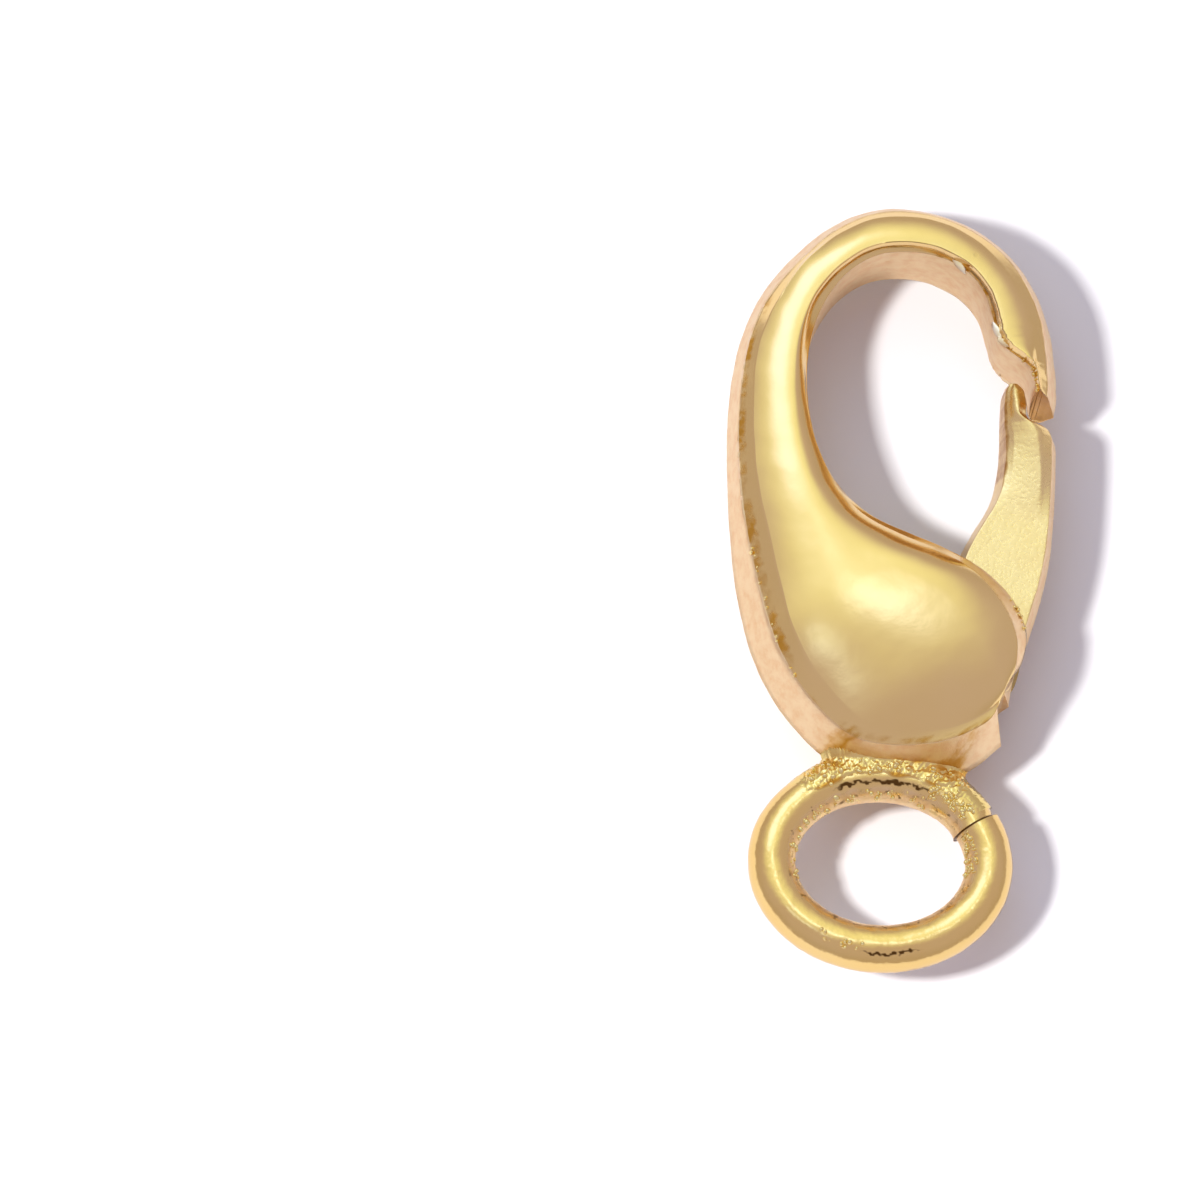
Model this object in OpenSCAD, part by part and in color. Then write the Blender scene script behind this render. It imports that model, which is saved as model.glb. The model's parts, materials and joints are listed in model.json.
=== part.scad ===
// Oval lobster clasp: a cast body with a sprung gate and a ring soldered to its foot.
// It lies flat, with its mid-plane level: X is its width, Y its length, Z its thickness.

/* [Body] */
// Length of the body, from the top of the arch to its foot
body_len = 19.3; // [18:0.1:22]
// Width of the body across the arm and the gate
body_w = 10.7; // [10:0.1:12]
// Thickness of the body at the top of its belly
belly_t = 5; // [4.6:0.1:5.6]
// Thickness of the arm, the arch and the hook
hook_t = 4; // [3.8:0.1:4.4]
// Thickness between the edges where the side walls meet the rounded faces
wall_t = 3; // [2.8:0.05:3.2]
// How far an outer side wall leans out from that edge down to the mid-plane
draft = 0.5; // [0.3:0.05:0.6]
// Width of the small chamfer between wall and face
edge_w = 0.1; // [0.05:0.05:0.2]

/* [Ring] */
// Outer width of the oval ring
ring_w = 8.6; // [8:0.05:10]
// Outer length of the oval ring
ring_len = 7.3; // [7:0.05:8.5]
// Diameter of its wire
wire_d = 1.6; // [1.2:0.05:1.7]
// How deep the ring is let into the foot
ring_sink = 0.85; // [0.6:0.05:1]
// How far the ring sits to the left of the middle of the body
ring_shift = 0.4; // [0:0.1:0.8]
// Width of the solder between ring and foot
solder_w = 4.4; // [3.6:0.1:5]
// Thickness of that solder
solder_t = 1.8; // [1.4:0.1:2.4]
// How far that solder reaches along the clasp
solder_len = 1.5; // [1.2:0.1:2]

/* [Gate] */
// Thickness of the gate at its flat edges and its knuckle
gate_t = 2.2; // [1.9:0.05:2.3]
// How far the rounded blade stands above each flat edge
gate_crown = 0.32; // [0.1:0.02:0.4]
// How far the gate's side walls lean out down to the mid-plane
gate_draft = 0.22; // [0.1:0.02:0.3]
// Outer diameter of the knuckle round the pin
knuckle_d = 2.2; // [2:0.05:2.3]
// How far the gate swings open, in degrees
open_angle = 25; // [15:1:28]
// Gap between the gate and each cheek
side_gap = 0.08; // [0.05:0.01:0.12]
// Gap between the gate's outline and the pocket that it swings in
pocket_gap = 0.12; // [0.08:0.01:0.2]

/* [Pin] */
// Diameter of the pivot pin
pin_d = 1.1; // [0.8:0.05:1.2]
// Radial play of the gate on the pin
pin_play = 0.04; // [0.02:0.01:0.08]
// Radial gap round the pin in the cheeks
pin_fit = 0.01; // [0.005:0.005:0.02]
// Share of each cheek's thickness that the pin is let into
pin_share = 0.4; // [0.3:0.05:0.6]

/* [Spring] */
// Thickness of the bent leaf
leaf_t = 0.15; // [0.1:0.01:0.2]
// Width of the leaf along the pin
leaf_w = 1.6; // [1.2:0.1:1.8]
// Length of each leg of the leaf
leaf_len = 2.4; // [2:0.1:2.6]
// Depth of the recess that the pressed leaf lies in
recess_d = 0.55; // [0.5:0.05:0.7]
// Gap between the leaf and what it bears on
leaf_gap = 0.05; // [0.03:0.01:0.1]

/* [Smoothness] */
// Steps between two rows of a section table
row_steps = 2; // [2:1:4]
// Points across each rounded face
face_points = 11; // [9:2:15]
// Points round the wire of the ring
wire_points = 14; // [10:2:16]
// Points round the knuckle, the pin and its bore
round_points = 48; // [36:4:64]
// Points round the solder and the spring's bend
fine_points = 24; // [20:2:32]
// Points along the ring
ring_points = 48; // [32:4:60]
// Roundness of the faces: 2 is a parabola, and more is flatter with steeper edges
crown_power = 2.2; // [2:0.1:3]

/* [Hidden] */
// Columns of the section tables. Outer and inner end of a section are shares of the width from
// the middle and of the length from the foot. Bulge goes from hook to belly thickness, rise is
// the share of the face's full height, and the next three are shares of the draft of the outer
// wall, of the inner wall, and of the end face. Crest goes from 0, the middle of the face, to 1
// at its inner edge.
OX = 0; OY = 1; IX = 2; IY = 3; BULGE = 4; RISE = 5; OUT = 6; IN = 7; END = 8; CREST = 9;

// Sections of the body, from the tip of the hook over the arch and down the arm, and then
// fanning out through the belly to the lower right corner
BODY = [
    [ 0.492, 0.637,  0.418, 0.657, 0.00, 0.59, 1.30, 0.1, 0.2, 0.50],
    [ 0.500, 0.664,  0.415, 0.680, 0.00, 0.76, 1.30, 0.1, 0, 0.62],
    [ 0.500, 0.690,  0.409, 0.695, 0.00, 0.84, 1.30, 0.1, 0, 0.70],
    [ 0.498, 0.713,  0.391, 0.708, 0.00, 0.86, 1.30, 0.1, 0, 0.75],
    [ 0.492, 0.743,  0.330, 0.734, 0.00, 0.87, 1.33, 0.1, 0, 0.78],
    [ 0.488, 0.764,  0.306, 0.752, 0.00, 0.87, 1.35, 0.1, 0, 0.78],
    [ 0.479, 0.790,  0.291, 0.783, 0.00, 0.86, 1.40, 0.1, 0, 0.78],
    [ 0.439, 0.855,  0.264, 0.829, 0.00, 0.88, 1.45, 0.1, 0, 0.78],
    [ 0.367, 0.915,  0.210, 0.866, 0.00, 0.90, 1.40, 0.1, 0, 0.80],
    [ 0.258, 0.964,  0.125, 0.889, 0.00, 0.94, 1.30, 0.1, 0, 0.79],
    [ 0.118, 0.993,  0.030, 0.895, 0.00, 0.98, 1.25, 0.1, 0, 0.76],
    [-0.033, 0.997, -0.062, 0.886, 0.00, 1.00, 1.25, 0.1, 0, 0.69],
    [-0.179, 0.965, -0.148, 0.853, 0.02, 1.03, 1.20, 0.1, 0, 0.62],
    [-0.312, 0.901, -0.213, 0.800, 0.05, 1.04, 1.00, 0.1, 0, 0.49],
    [-0.404, 0.832, -0.250, 0.739, 0.10, 1.03, 0.80, 0.1, 0, 0.49],
    [-0.459, 0.758, -0.261, 0.673, 0.16, 1.03, 0.65, 0.1, 0, 0.50],
    [-0.487, 0.681, -0.251, 0.608, 0.24, 1.07, 0.62, 0.1, 0, 0.48],
    [-0.499, 0.602, -0.221, 0.545, 0.34, 1.11, 0.60, 0.1, 0, 0.40],
    [-0.499, 0.514, -0.160, 0.484, 0.50, 1.12, 0.62, 0.1, 0, 0.30],
    [-0.491, 0.417, -0.070, 0.440, 0.68, 1.07, 0.85, 0.1, 0, 0.19],
    [-0.469, 0.311,  0.047, 0.412, 0.86, 1.01, 1.20, 0.2, 0, 0.15],
    [-0.416, 0.196,  0.176, 0.389, 1.00, 1.00, 1.40, 0.5, 0, 0.35],
    [-0.315, 0.097,  0.294, 0.360, 1.00, 0.97, 1.40, 0.8, 0, 0.47],
    [-0.163, 0.021,  0.380, 0.313, 1.00, 0.84, 1.50, 0.9, 0, 0.46],
    [ 0.036, 0.000,  0.418, 0.257, 1.00, 0.58, 2.10, 0.9, 0, 0.36],
    [ 0.209, 0.011,  0.404, 0.203, 1.00, 0.28, 2.90, 0.9, -0.2, 0.18],
    [ 0.330, 0.063,  0.367, 0.151, 1.00, 0.00, 1.60, 0.3, -0.9, 0.01]
];

// Sections of the gate, from its tail past the knuckle and the shoulder to its tip
GATE = [
    [ 0.352, 0.132,  0.264, 0.126, 0, 0.00, 1.0, 0.00, 0.5, 0.00],
    [ 0.367, 0.181,  0.155, 0.181, 0, 0.00, 1.0, 1.00, 0, 0.00],
    [ 0.404, 0.234,  0.158, 0.251, 0, 0.00, 1.0, 1.00, 0, 0.00],
    [ 0.433, 0.284,  0.167, 0.318, 0, 0.00, 1.0, 1.00, 0, 0.00],
    [ 0.456, 0.330,  0.194, 0.379, 0, 0.00, 1.0, 1.00, 0, 0.00],
    [ 0.476, 0.383,  0.239, 0.430, 0, 0.00, 1.0, 1.00, 0, 0.00],
    [ 0.486, 0.432,  0.276, 0.464, 0, 0.00, 1.0, 1.00, 0, 0.00],
    [ 0.492, 0.479,  0.300, 0.493, 0, 0.20, 1.0, 1.00, 0, 0.00],
    [ 0.495, 0.511,  0.312, 0.522, 0, 0.40, 1.0, 0.90, 0, 0.00],
    [ 0.497, 0.548,  0.320, 0.551, 0, 0.62, 1.0, 0.80, 0, 0.10],
    [ 0.497, 0.578,  0.323, 0.579, 0, 0.84, 1.0, 0.70, 0, 0.30],
    [ 0.491, 0.594,  0.324, 0.597, 0, 1.00, 1.0, 0.55, 0, 0.42],
    [ 0.469, 0.606,  0.324, 0.611, 0, 1.05, 0.8, 0.40, 0, 0.42],
    [ 0.413, 0.620,  0.326, 0.625, 0, 0.95, 0.5, 0.35, 0, 0.42],
    [ 0.407, 0.641,  0.327, 0.644, 0, 0.78, 0.5, 0.35, 0, 0.42],
    [ 0.398, 0.667,  0.330, 0.667, 0, 0.50, 0.5, 0.35, 0, 0.42],
    [ 0.379, 0.685,  0.342, 0.685, 0, 0.15, 0.5, 0.35, -0.5, 0.42]
];
// Rows of the gate's table, from the first, that lie between the cheeks or swing in there
GATE_ROOT = 7;
// The pivot, in the same shares of width and length
PIVOT = [0.258, 0.181];

total_len = body_len + ring_len - ring_sink;
foot_y = total_len / 2 - body_len;
ring_y = foot_y + ring_sink - ring_len / 2;
mid_z = max(belly_t, hook_t) / 2;
wall_h = wall_t / 2;
pivot = [PIVOT.x * body_w, foot_y + PIVOT.y * body_len];
slot_h = gate_t / 2 + side_gap;
cheek_t = belly_t / 2 - slot_h;
pin_h = slot_h + pin_share * cheek_t;
bore_r = pin_d / 2 + pin_fit;
// The pressed leaf lies in a frame turned by the open angle: the pocket's wall is at -pocket_x
// there, and the leaf's bend lies leaf_foot past the pivot
pocket_x = knuckle_d / 2 + pocket_gap;
leaf_foot = 0.7;
// Steps of the gate's swing that the pocket is cut for
swing_steps = 8;
leaf_bend = [-pocket_x - recess_d + leaf_gap + leaf_t / 2, leaf_foot];
bend_x = leaf_bend.x * cos(open_angle) - leaf_bend.y * sin(open_angle);
bend_y = leaf_bend.x * sin(open_angle) + leaf_bend.y * cos(open_angle);
leaf_lean = asin((-bend_x - knuckle_d / 2 - leaf_gap - leaf_t / 2) / leaf_len);

// Smooth curve from b to c through a row of values, with the neighbours a and d
function flow(a, b, c, d, t) =
    0.5 * (2 * b + (c - a) * t + (2 * a - 5 * b + 4 * c - d) * t * t
    + (3 * b - a - 3 * c + d) * t * t * t);

// A section table with more rows, on a smooth curve through all its columns
function fine_rows(rows) =
    let (end = len(rows) - 1)
    concat(
        [for (i = [0 : end - 1], k = [0 : row_steps - 1])
            flow(rows[max(i - 1, 0)], rows[i], rows[i + 1], rows[min(i + 2, end)], k / row_steps)],
        [rows[end]]);

// Place of a share of width and length
function place(x, y) = [x * body_w, foot_y + y * body_len];

// Closed ring of points round one section: a face above, a face below and two leaning walls.
// flat is half the thickness at the walls' edges, full the same at the middle of the face.
function section(row, flat, full, lean) =
    let (outer = place(row[OX], row[OY]),
         inner = place(row[IX], row[IY]),
         width = norm(inner - outer),
         along = (inner - outer) / width,
         ahead = [along.y, -along.x],
         edge = min(edge_w, width / 8),
         wall = 1 - edge / flat,
         out = lean * row[OUT],
         in = lean * row[IN],
         rise = (full - flat) * row[RISE],
         face = [for (k = [0 : face_points - 1])
             let (off = 2 * k / (face_points - 1) - 1,
                  s = row[CREST] + off * (1 - sign(off) * row[CREST]))
             [(width - out - in - 2 * edge) * (s + 1) / 2 + out + edge,
              flat + rise * (1 - pow(abs(off), crown_power))]],
         upper = concat([[out * wall, flat * wall]], face, [[width - in * wall, flat * wall]]),
         count = len(upper),
         loop = concat([[0, 0]], upper, [[width, 0]],
             [for (k = [1 : count]) [upper[count - k].x, -upper[count - k].y]]))
    [for (p = loop)
        let (base = outer + along * p.x + ahead * lean * row[END] * abs(p.y) / flat)
        [base.x, base.y, mid_z + p.y]];

// Solid through closed rings of as many points each
module loft(rings) {
    n = len(rings[0]);
    last = len(rings) - 1;
    sides = [for (i = [0 : last - 1], j = [0 : n - 1])
        let (a = i * n + j, b = i * n + (j + 1) % n)
        each [[a, b, b + n], [a, b + n, a + n]]];
    caps = [[for (j = [n - 1 : -1 : 0]) j], [for (j = [0 : n - 1]) last * n + j]];
    polyhedron(points = [for (ring = rings) each ring], faces = concat(sides, caps), convexity = 6);
}

// Outer form of the body, before the pocket and the pin's bore are cut
module body_form() {
    loft([for (row = fine_rows(BODY))
        section(row, wall_h, (hook_t + (belly_t - hook_t) * row[BULGE]) / 2, draft)]);
}

// Outline of the gate between the cheeks, at rest
module gate_root() {
    polygon(concat(
        [for (i = [0 : GATE_ROOT - 1]) place(GATE[i][OX], GATE[i][OY])],
        [for (i = [GATE_ROOT - 1 : -1 : 0]) place(GATE[i][IX], GATE[i][IY])]));
    translate(pivot) circle(d = knuckle_d, $fn = round_points);
}

// Everything inside is turned about the pivot
module about_pivot(angle) {
    translate(pivot) rotate(angle) translate(-pivot) children();
}

// Strip outside the gate's outer edge, where the pocket opens to the side
module pocket_mouth() {
    polygon(concat(
        [for (i = [0 : GATE_ROOT - 1]) place(GATE[i][OX], GATE[i][OY])],
        [for (i = [GATE_ROOT - 1 : -1 : 0]) place(GATE[i][OX], GATE[i][OY]) + [knuckle_d, 0]]));
}

// Pocket between the cheeks, wide enough for the whole swing of the gate
module pocket() {
    translate([0, 0, mid_z - slot_h]) linear_extrude(2 * slot_h)
        offset(delta = pocket_gap) {
            for (k = [0 : swing_steps]) about_pivot(open_angle * k / swing_steps) gate_root();
            pocket_mouth();
        }
}

// Recess in the pocket's wall for the pressed spring, against the fully open gate
module spring_recess() {
    translate([0, 0, mid_z - leaf_w / 2 - leaf_gap]) linear_extrude(leaf_w + 2 * leaf_gap)
        translate(pivot) rotate(open_angle)
            translate([-pocket_x - recess_d, leaf_foot - 2 * leaf_gap])
                square([recess_d + pocket_x / 2, leaf_len + 4 * leaf_gap]);
}

// Oval ring of round wire, one polyhedron
module wire_ring() {
    half_x = (ring_w - wire_d) / 2;
    half_y = (ring_len - wire_d) / 2;
    rings = [for (i = [0 : ring_points - 1])
        let (a = 360 * i / ring_points,
             out = [half_y * cos(a), half_x * sin(a)] / norm([half_y * cos(a), half_x * sin(a)]))
        [for (j = [0 : wire_points - 1])
            let (b = 360 * j / wire_points, r = wire_d / 2)
            [half_x * cos(a) + r * cos(b) * out.x, half_y * sin(a) + r * cos(b) * out.y,
             r * sin(b)]]];
    n = wire_points;
    faces = [for (i = [0 : ring_points - 1], j = [0 : n - 1])
        let (i2 = (i + 1) % ring_points, j2 = (j + 1) % n)
        each [[i * n + j, i * n + j2, i2 * n + j2], [i * n + j, i2 * n + j2, i2 * n + j]]];
    translate([-ring_shift, ring_y, mid_z])
        polyhedron(points = [for (ring = rings) each ring], faces = faces, convexity = 6);
}

// Lump of solder between the foot and the ring
module solder() {
    translate([0, foot_y + ring_sink / 4, mid_z])
        scale([solder_w, solder_len, solder_t] / 2) sphere(r = 1, $fn = fine_points);
}

module clasp_body() {
    color("gold") difference() {
        union() {
            body_form();
            wire_ring();
            solder();
        }
        pocket();
        spring_recess();
        translate([pivot.x, pivot.y, mid_z - pin_h - pin_fit])
            cylinder(r = bore_r, h = 2 * (pin_h + pin_fit), $fn = round_points);
    }
}

module gate() {
    color("goldenrod") difference() {
        union() {
            loft([for (row = fine_rows(GATE))
                section(row, gate_t / 2, gate_t / 2 + gate_crown, gate_draft)]);
            translate([pivot.x, pivot.y, mid_z - gate_t / 2])
                cylinder(d = knuckle_d, h = gate_t, $fn = round_points);
        }
        translate([pivot.x, pivot.y, mid_z - gate_t])
            cylinder(r = pin_d / 2 + pin_play, h = 2 * gate_t, $fn = round_points);
    }
}

module pivot_pin() {
    color("silver") translate([pivot.x, pivot.y, mid_z - pin_h])
        cylinder(d = pin_d, h = 2 * pin_h, $fn = round_points);
}

// One leg of the leaf, from its bend at the given angle to the left of straight up
module leg(angle) {
    rotate(90 + angle) translate([0, -leaf_t / 2]) square([leaf_len, leaf_t]);
}

module gate_spring() {
    color("slategray") translate([pivot.x + bend_x, pivot.y + bend_y, mid_z - leaf_w / 2])
        linear_extrude(leaf_w) {
            circle(d = leaf_t, $fn = fine_points);
            leg(open_angle);
            leg(-leaf_lean);
        }
}

clasp_body();
gate();
pivot_pin();
gate_spring();
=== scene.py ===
# %% [markdown]
# # A gold lobster clasp
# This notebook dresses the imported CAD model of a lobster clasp: a cast body with a hook and a
# belly, a sprung gate that closes the hook, and an oval ring soldered to its foot.

# %% The frame
import json
import math
import bpy
import numpy as np
from mathutils import Matrix, Vector

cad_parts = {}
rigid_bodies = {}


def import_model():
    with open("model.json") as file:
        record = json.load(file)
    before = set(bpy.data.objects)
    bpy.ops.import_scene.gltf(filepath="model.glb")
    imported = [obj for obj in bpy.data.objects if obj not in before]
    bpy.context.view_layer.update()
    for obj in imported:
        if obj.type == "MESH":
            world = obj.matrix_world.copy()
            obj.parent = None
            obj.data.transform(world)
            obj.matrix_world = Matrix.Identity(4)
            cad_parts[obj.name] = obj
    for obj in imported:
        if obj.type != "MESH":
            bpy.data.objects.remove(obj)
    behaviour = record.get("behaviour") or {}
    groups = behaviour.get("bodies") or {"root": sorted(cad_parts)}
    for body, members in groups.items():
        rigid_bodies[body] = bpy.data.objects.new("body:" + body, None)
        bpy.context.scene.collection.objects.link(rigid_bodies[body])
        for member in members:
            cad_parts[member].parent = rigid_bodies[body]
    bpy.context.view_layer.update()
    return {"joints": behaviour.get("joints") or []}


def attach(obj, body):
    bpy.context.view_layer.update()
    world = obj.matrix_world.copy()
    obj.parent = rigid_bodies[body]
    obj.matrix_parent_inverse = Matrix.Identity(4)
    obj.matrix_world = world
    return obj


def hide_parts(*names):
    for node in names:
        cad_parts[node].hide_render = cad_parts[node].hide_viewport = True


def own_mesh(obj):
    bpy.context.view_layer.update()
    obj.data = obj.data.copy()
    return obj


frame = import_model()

# %% [markdown]
# ## Sizes
# The clasp is modelled in millimetres and scaled to metres when a mesh is made, because a maker
# thinks of a clasp in millimetres and Blender's numbers get small otherwise. Its mid-plane, its
# pivot and its swing come from the frame, so that they can't drift from the CAD model. The other
# sizes are those that a maker would measure with a calliper.

# %% Sizes in millimetres
MM = 0.001
body_w, body_len = 10.7, 19.3  # across the arm and the gate, and from arch to foot
hook_t, wall_t, draft = 4.0, 3.0, 0.5  # hook, height of the walls, and how far a wall leans
gate_t, gate_crown, gate_draft = 2.2, 0.32, 0.22
ring_w, ring_len, wire_d = 8.6, 7.3, 1.6
ring_sink, ring_shift = 0.85, 0.4  # how deep it is let into the foot, and how far to the left

total_len = body_len + ring_len - ring_sink
hinge = frame["joints"][0]
pivot = np.array(hinge["pos_m"]) / MM
open_angle = math.radians(hinge["range_deg"][1])
mid_z = pivot[2]
belly_t = 2 * mid_z
foot_y = total_len / 2 - body_len
ring_centre = np.array([-ring_shift, foot_y + ring_sink - ring_len / 2, mid_z])
print(f"belly {belly_t:.2f} mm thick, pivot at {pivot.round(2)},",
      f"gate opens {math.degrees(open_angle):.0f} degrees")

# %% [markdown]
# ## Sections
# A cast clasp has no straight line in it, but each slice across it is simple: a low rounded
# face above and below, and two side walls that lean a little, so that the casting leaves its
# mould. So body and gate are each a table of slices. A row gives the outer and inner end of a
# slice, in shares of the width from the middle and of the length from the foot, then how far
# the face has swollen from hook to belly, how much of its rise it has, and the shares of the
# lean of the outer wall, the inner wall and the end face. Subdivision of a coarse mesh would be
# quicker to set up, but a table can be held against a calliper row by row.

# %% The body's slices, from the hook's tip over the arch to the foot's right corner
OUTER, INNER, SWELL, RISE, OUT_LEAN, IN_LEAN, END_LEAN = 0, 2, 4, 5, 6, 7, 8  # columns
BODY = np.array([
    [0.492, 0.637, 0.418, 0.657, 0.00, 0.59, 0.85, 0.1, 0.2],
    [0.500, 0.664, 0.415, 0.680, 0.00, 0.76, 0.85, 0.1, 0],
    [0.500, 0.690, 0.409, 0.695, 0.00, 0.84, 0.85, 0.1, 0],
    [0.498, 0.713, 0.391, 0.708, 0.00, 0.86, 0.85, 0.1, 0],
    [0.492, 0.743, 0.330, 0.734, 0.00, 0.87, 0.85, 0.1, 0],
    [0.488, 0.764, 0.306, 0.752, 0.00, 0.87, 0.85, 0.1, 0],
    [0.479, 0.790, 0.291, 0.783, 0.00, 0.86, 0.85, 0.1, 0],
    [0.439, 0.855, 0.264, 0.829, 0.00, 0.88, 0.95, 0.1, 0],
    [0.367, 0.915, 0.210, 0.866, 0.00, 0.90, 1.05, 0.1, 0],
    [0.258, 0.964, 0.125, 0.889, 0.00, 0.94, 1.15, 0.1, 0],
    [0.118, 0.993, 0.030, 0.895, 0.00, 0.98, 1.15, 0.1, 0],
    [-0.033, 0.997, -0.062, 0.886, 0.00, 1.00, 1.15, 0.1, 0],
    [-0.179, 0.965, -0.148, 0.853, 0.02, 1.03, 1.10, 0.1, 0],
    [-0.312, 0.901, -0.213, 0.800, 0.05, 1.04, 1.00, 0.1, 0],
    [-0.404, 0.832, -0.250, 0.739, 0.10, 1.03, 0.80, 0.1, 0],
    [-0.459, 0.758, -0.261, 0.673, 0.16, 1.03, 0.65, 0.1, 0],
    [-0.487, 0.681, -0.251, 0.608, 0.24, 1.07, 0.62, 0.1, 0],
    [-0.499, 0.602, -0.221, 0.545, 0.34, 1.11, 0.60, 0.1, 0],
    [-0.499, 0.514, -0.160, 0.484, 0.50, 1.12, 0.62, 0.1, 0],
    [-0.491, 0.417, -0.070, 0.440, 0.68, 1.07, 0.85, 0.1, 0],
    [-0.469, 0.311, 0.047, 0.412, 0.86, 1.01, 1.20, 0.2, 0],
    [-0.416, 0.196, 0.176, 0.389, 1.00, 1.00, 1.40, 0.5, 0],
    [-0.315, 0.097, 0.294, 0.360, 1.00, 0.97, 1.40, 0.8, 0],
    [-0.163, 0.021, 0.380, 0.313, 1.00, 0.84, 1.50, 0.9, 0],
    [0.036, 0.000, 0.418, 0.257, 1.00, 0.58, 2.10, 0.9, 0],
    [0.209, 0.011, 0.404, 0.203, 1.00, 0.28, 2.90, 0.9, -0.2],
    [0.330, 0.063, 0.367, 0.151, 1.00, 0.00, 1.60, 0.3, -0.9],
])
print(len(BODY), "slices through the body")

# %% [markdown]
# Polishing gave each face two kinds of curve: a crown, and a narrow bevel along each edge where
# the wheel tipped over. A second table holds them, because the bright streaks on the gold follow
# these curves and nothing else. A row says where the crown's crest lies, from 0 in the middle to
# 1 on the inner edge, and the power by which the crown falls. Then come the width of the outer
# bevel in millimetres and its share of the rise, and both for the inner one.
#
# Most of these numbers weren't chosen by hand. A fitting program shaded such a face, compared it
# with the photo's streaks and gave them, and it also scaled the RISE column of the slices. They
# were rounded, and some were changed afterwards.

# %% The body's faces, row by row with its slices
BODY_FACE = np.array([
    [0.85, 2.46, 0.29, 0.50, 0.34, 0.80],
    [0.85, 2.50, 0.29, 0.50, 0.35, 0.79],
    [0.85, 2.54, 0.29, 0.50, 0.36, 0.79],
    [0.85, 2.59, 0.29, 0.50, 0.36, 0.74],
    [0.85, 2.65, 0.30, 0.50, 0.37, 0.69],
    [0.85, 2.65, 0.31, 0.50, 0.38, 0.59],
    [0.85, 2.66, 0.33, 0.50, 0.39, 0.49],
    [0.85, 2.59, 0.31, 0.48, 0.39, 0.39],
    [0.85, 2.51, 0.26, 0.46, 0.40, 0.28],
    [0.80, 2.47, 0.20, 0.44, 0.39, 0.23],
    [0.76, 2.43, 0.18, 0.42, 0.38, 0.18],
    [0.69, 2.37, 0.18, 0.42, 0.36, 0.18],
    [0.62, 2.31, 0.18, 0.44, 0.35, 0.19],
    [0.49, 2.35, 0.16, 0.62, 0.29, 0.25],
    [0.49, 2.22, 0.29, 0.56, 0.21, 0.36],
    [0.50, 2.08, 0.32, 0.46, 0.12, 0.49],
    [0.48, 1.96, 0.35, 0.47, 0.06, 0.54],
    [0.40, 1.92, 0.42, 0.50, 0.06, 0.48],
    [0.30, 1.92, 0.47, 0.53, 0.13, 0.32],
    [0.19, 2.10, 0.53, 0.56, 0.23, 0.17],
    [0.15, 2.45, 0.57, 0.56, 0.27, 0.17],
    [0.35, 2.65, 0.54, 0.54, 0.27, 0.28],
    [0.47, 2.49, 0.55, 0.34, 0.32, 0.50],
    [0.46, 1.91, 0.57, 0.22, 0.40, 0.62],
    [0.36, 1.60, 0.62, 0.14, 0.44, 0.70],
    [0.18, 1.50, 0.68, 0.10, 0.36, 0.76],
    [0.01, 1.50, 0.73, 0.08, 0.15, 0.80],
])
print("bevels up to", BODY_FACE[:, [2, 4]].max(), "mm wide")

# %% [markdown]
# The gate takes the same two tables. Its root, between the cheeks, is flat. Its blade rises
# towards the shoulder, and its crest runs along the outer edge and crosses to the middle of the
# narrow tip.

# %% The gate's slices, from its tail to its tip
GATE = np.array([
    [0.352, 0.132, 0.264, 0.126, 0, 0.00, 1.0, 0.00, 0.5],
    [0.367, 0.181, 0.155, 0.181, 0, 0.00, 1.0, 1.00, 0],
    [0.404, 0.234, 0.158, 0.251, 0, 0.00, 1.0, 1.00, 0],
    [0.433, 0.284, 0.167, 0.318, 0, 0.00, 1.0, 1.00, 0],
    [0.456, 0.330, 0.194, 0.379, 0, 0.00, 1.0, 1.00, 0],
    [0.476, 0.383, 0.239, 0.430, 0, 0.00, 1.0, 1.00, 0],
    [0.486, 0.432, 0.276, 0.464, 0, 0.00, 1.0, 1.00, 0],
    [0.492, 0.479, 0.300, 0.493, 0, 0.20, 1.0, 1.00, 0],
    [0.495, 0.511, 0.312, 0.522, 0, 0.40, 1.0, 0.90, 0],
    [0.497, 0.548, 0.320, 0.551, 0, 0.62, 1.0, 0.80, 0],
    [0.497, 0.578, 0.323, 0.579, 0, 0.84, 1.0, 0.70, 0],
    [0.491, 0.594, 0.324, 0.597, 0, 0.95, 1.00, 0.55, 0],
    [0.469, 0.606, 0.324, 0.611, 0, 0.98, 0.85, 0.45, 0],
    [0.413, 0.620, 0.326, 0.625, 0, 0.95, 0.45, 0.40, 0],
    [0.407, 0.641, 0.327, 0.644, 0, 0.80, 0.35, 0.35, 0],
    [0.398, 0.667, 0.330, 0.667, 0, 0.45, 0.25, 0.35, 0],
    [0.379, 0.685, 0.342, 0.685, 0, 0.15, 0.30, 0.35, -0.5],
])
GATE_FACE = np.array(
    [[-0.55, 1.7, 0.22, 0.60, 0.20, 0.44]] * 9 + [[-0.45, 1.7, 0.20, 0.58, 0.20, 0.44],
     [-0.36, 1.7, 0.19, 0.55, 0.19, 0.44], [-0.30, 1.7, 0.18, 0.52, 0.18, 0.42],
     [-0.26, 1.7, 0.15, 0.50, 0.16, 0.40], [-0.24, 1.8, 0.11, 0.45, 0.12, 0.36],
     [-0.10, 2.0, 0.09, 0.45, 0.10, 0.35], [0.0, 2.1, 0.08, 0.45, 0.09, 0.35],
     [0.0, 2.2, 0.08, 0.45, 0.09, 0.35]])
GATE_ROOT = 7  # rows of the gate, from the first, that lie between the cheeks
print(len(GATE), "slices through the gate,", GATE_ROOT, "of them between the cheeks")

# %% [markdown]
# Between two rows the real clasp goes on in a smooth curve. A Catmull-Rom spline passes through
# every row, so the tables stay true, and it needs no handles.

# %% Between the rows
BODY_STEPS, GATE_STEPS = 15, 12  # slices from one row of a table to the next


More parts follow.
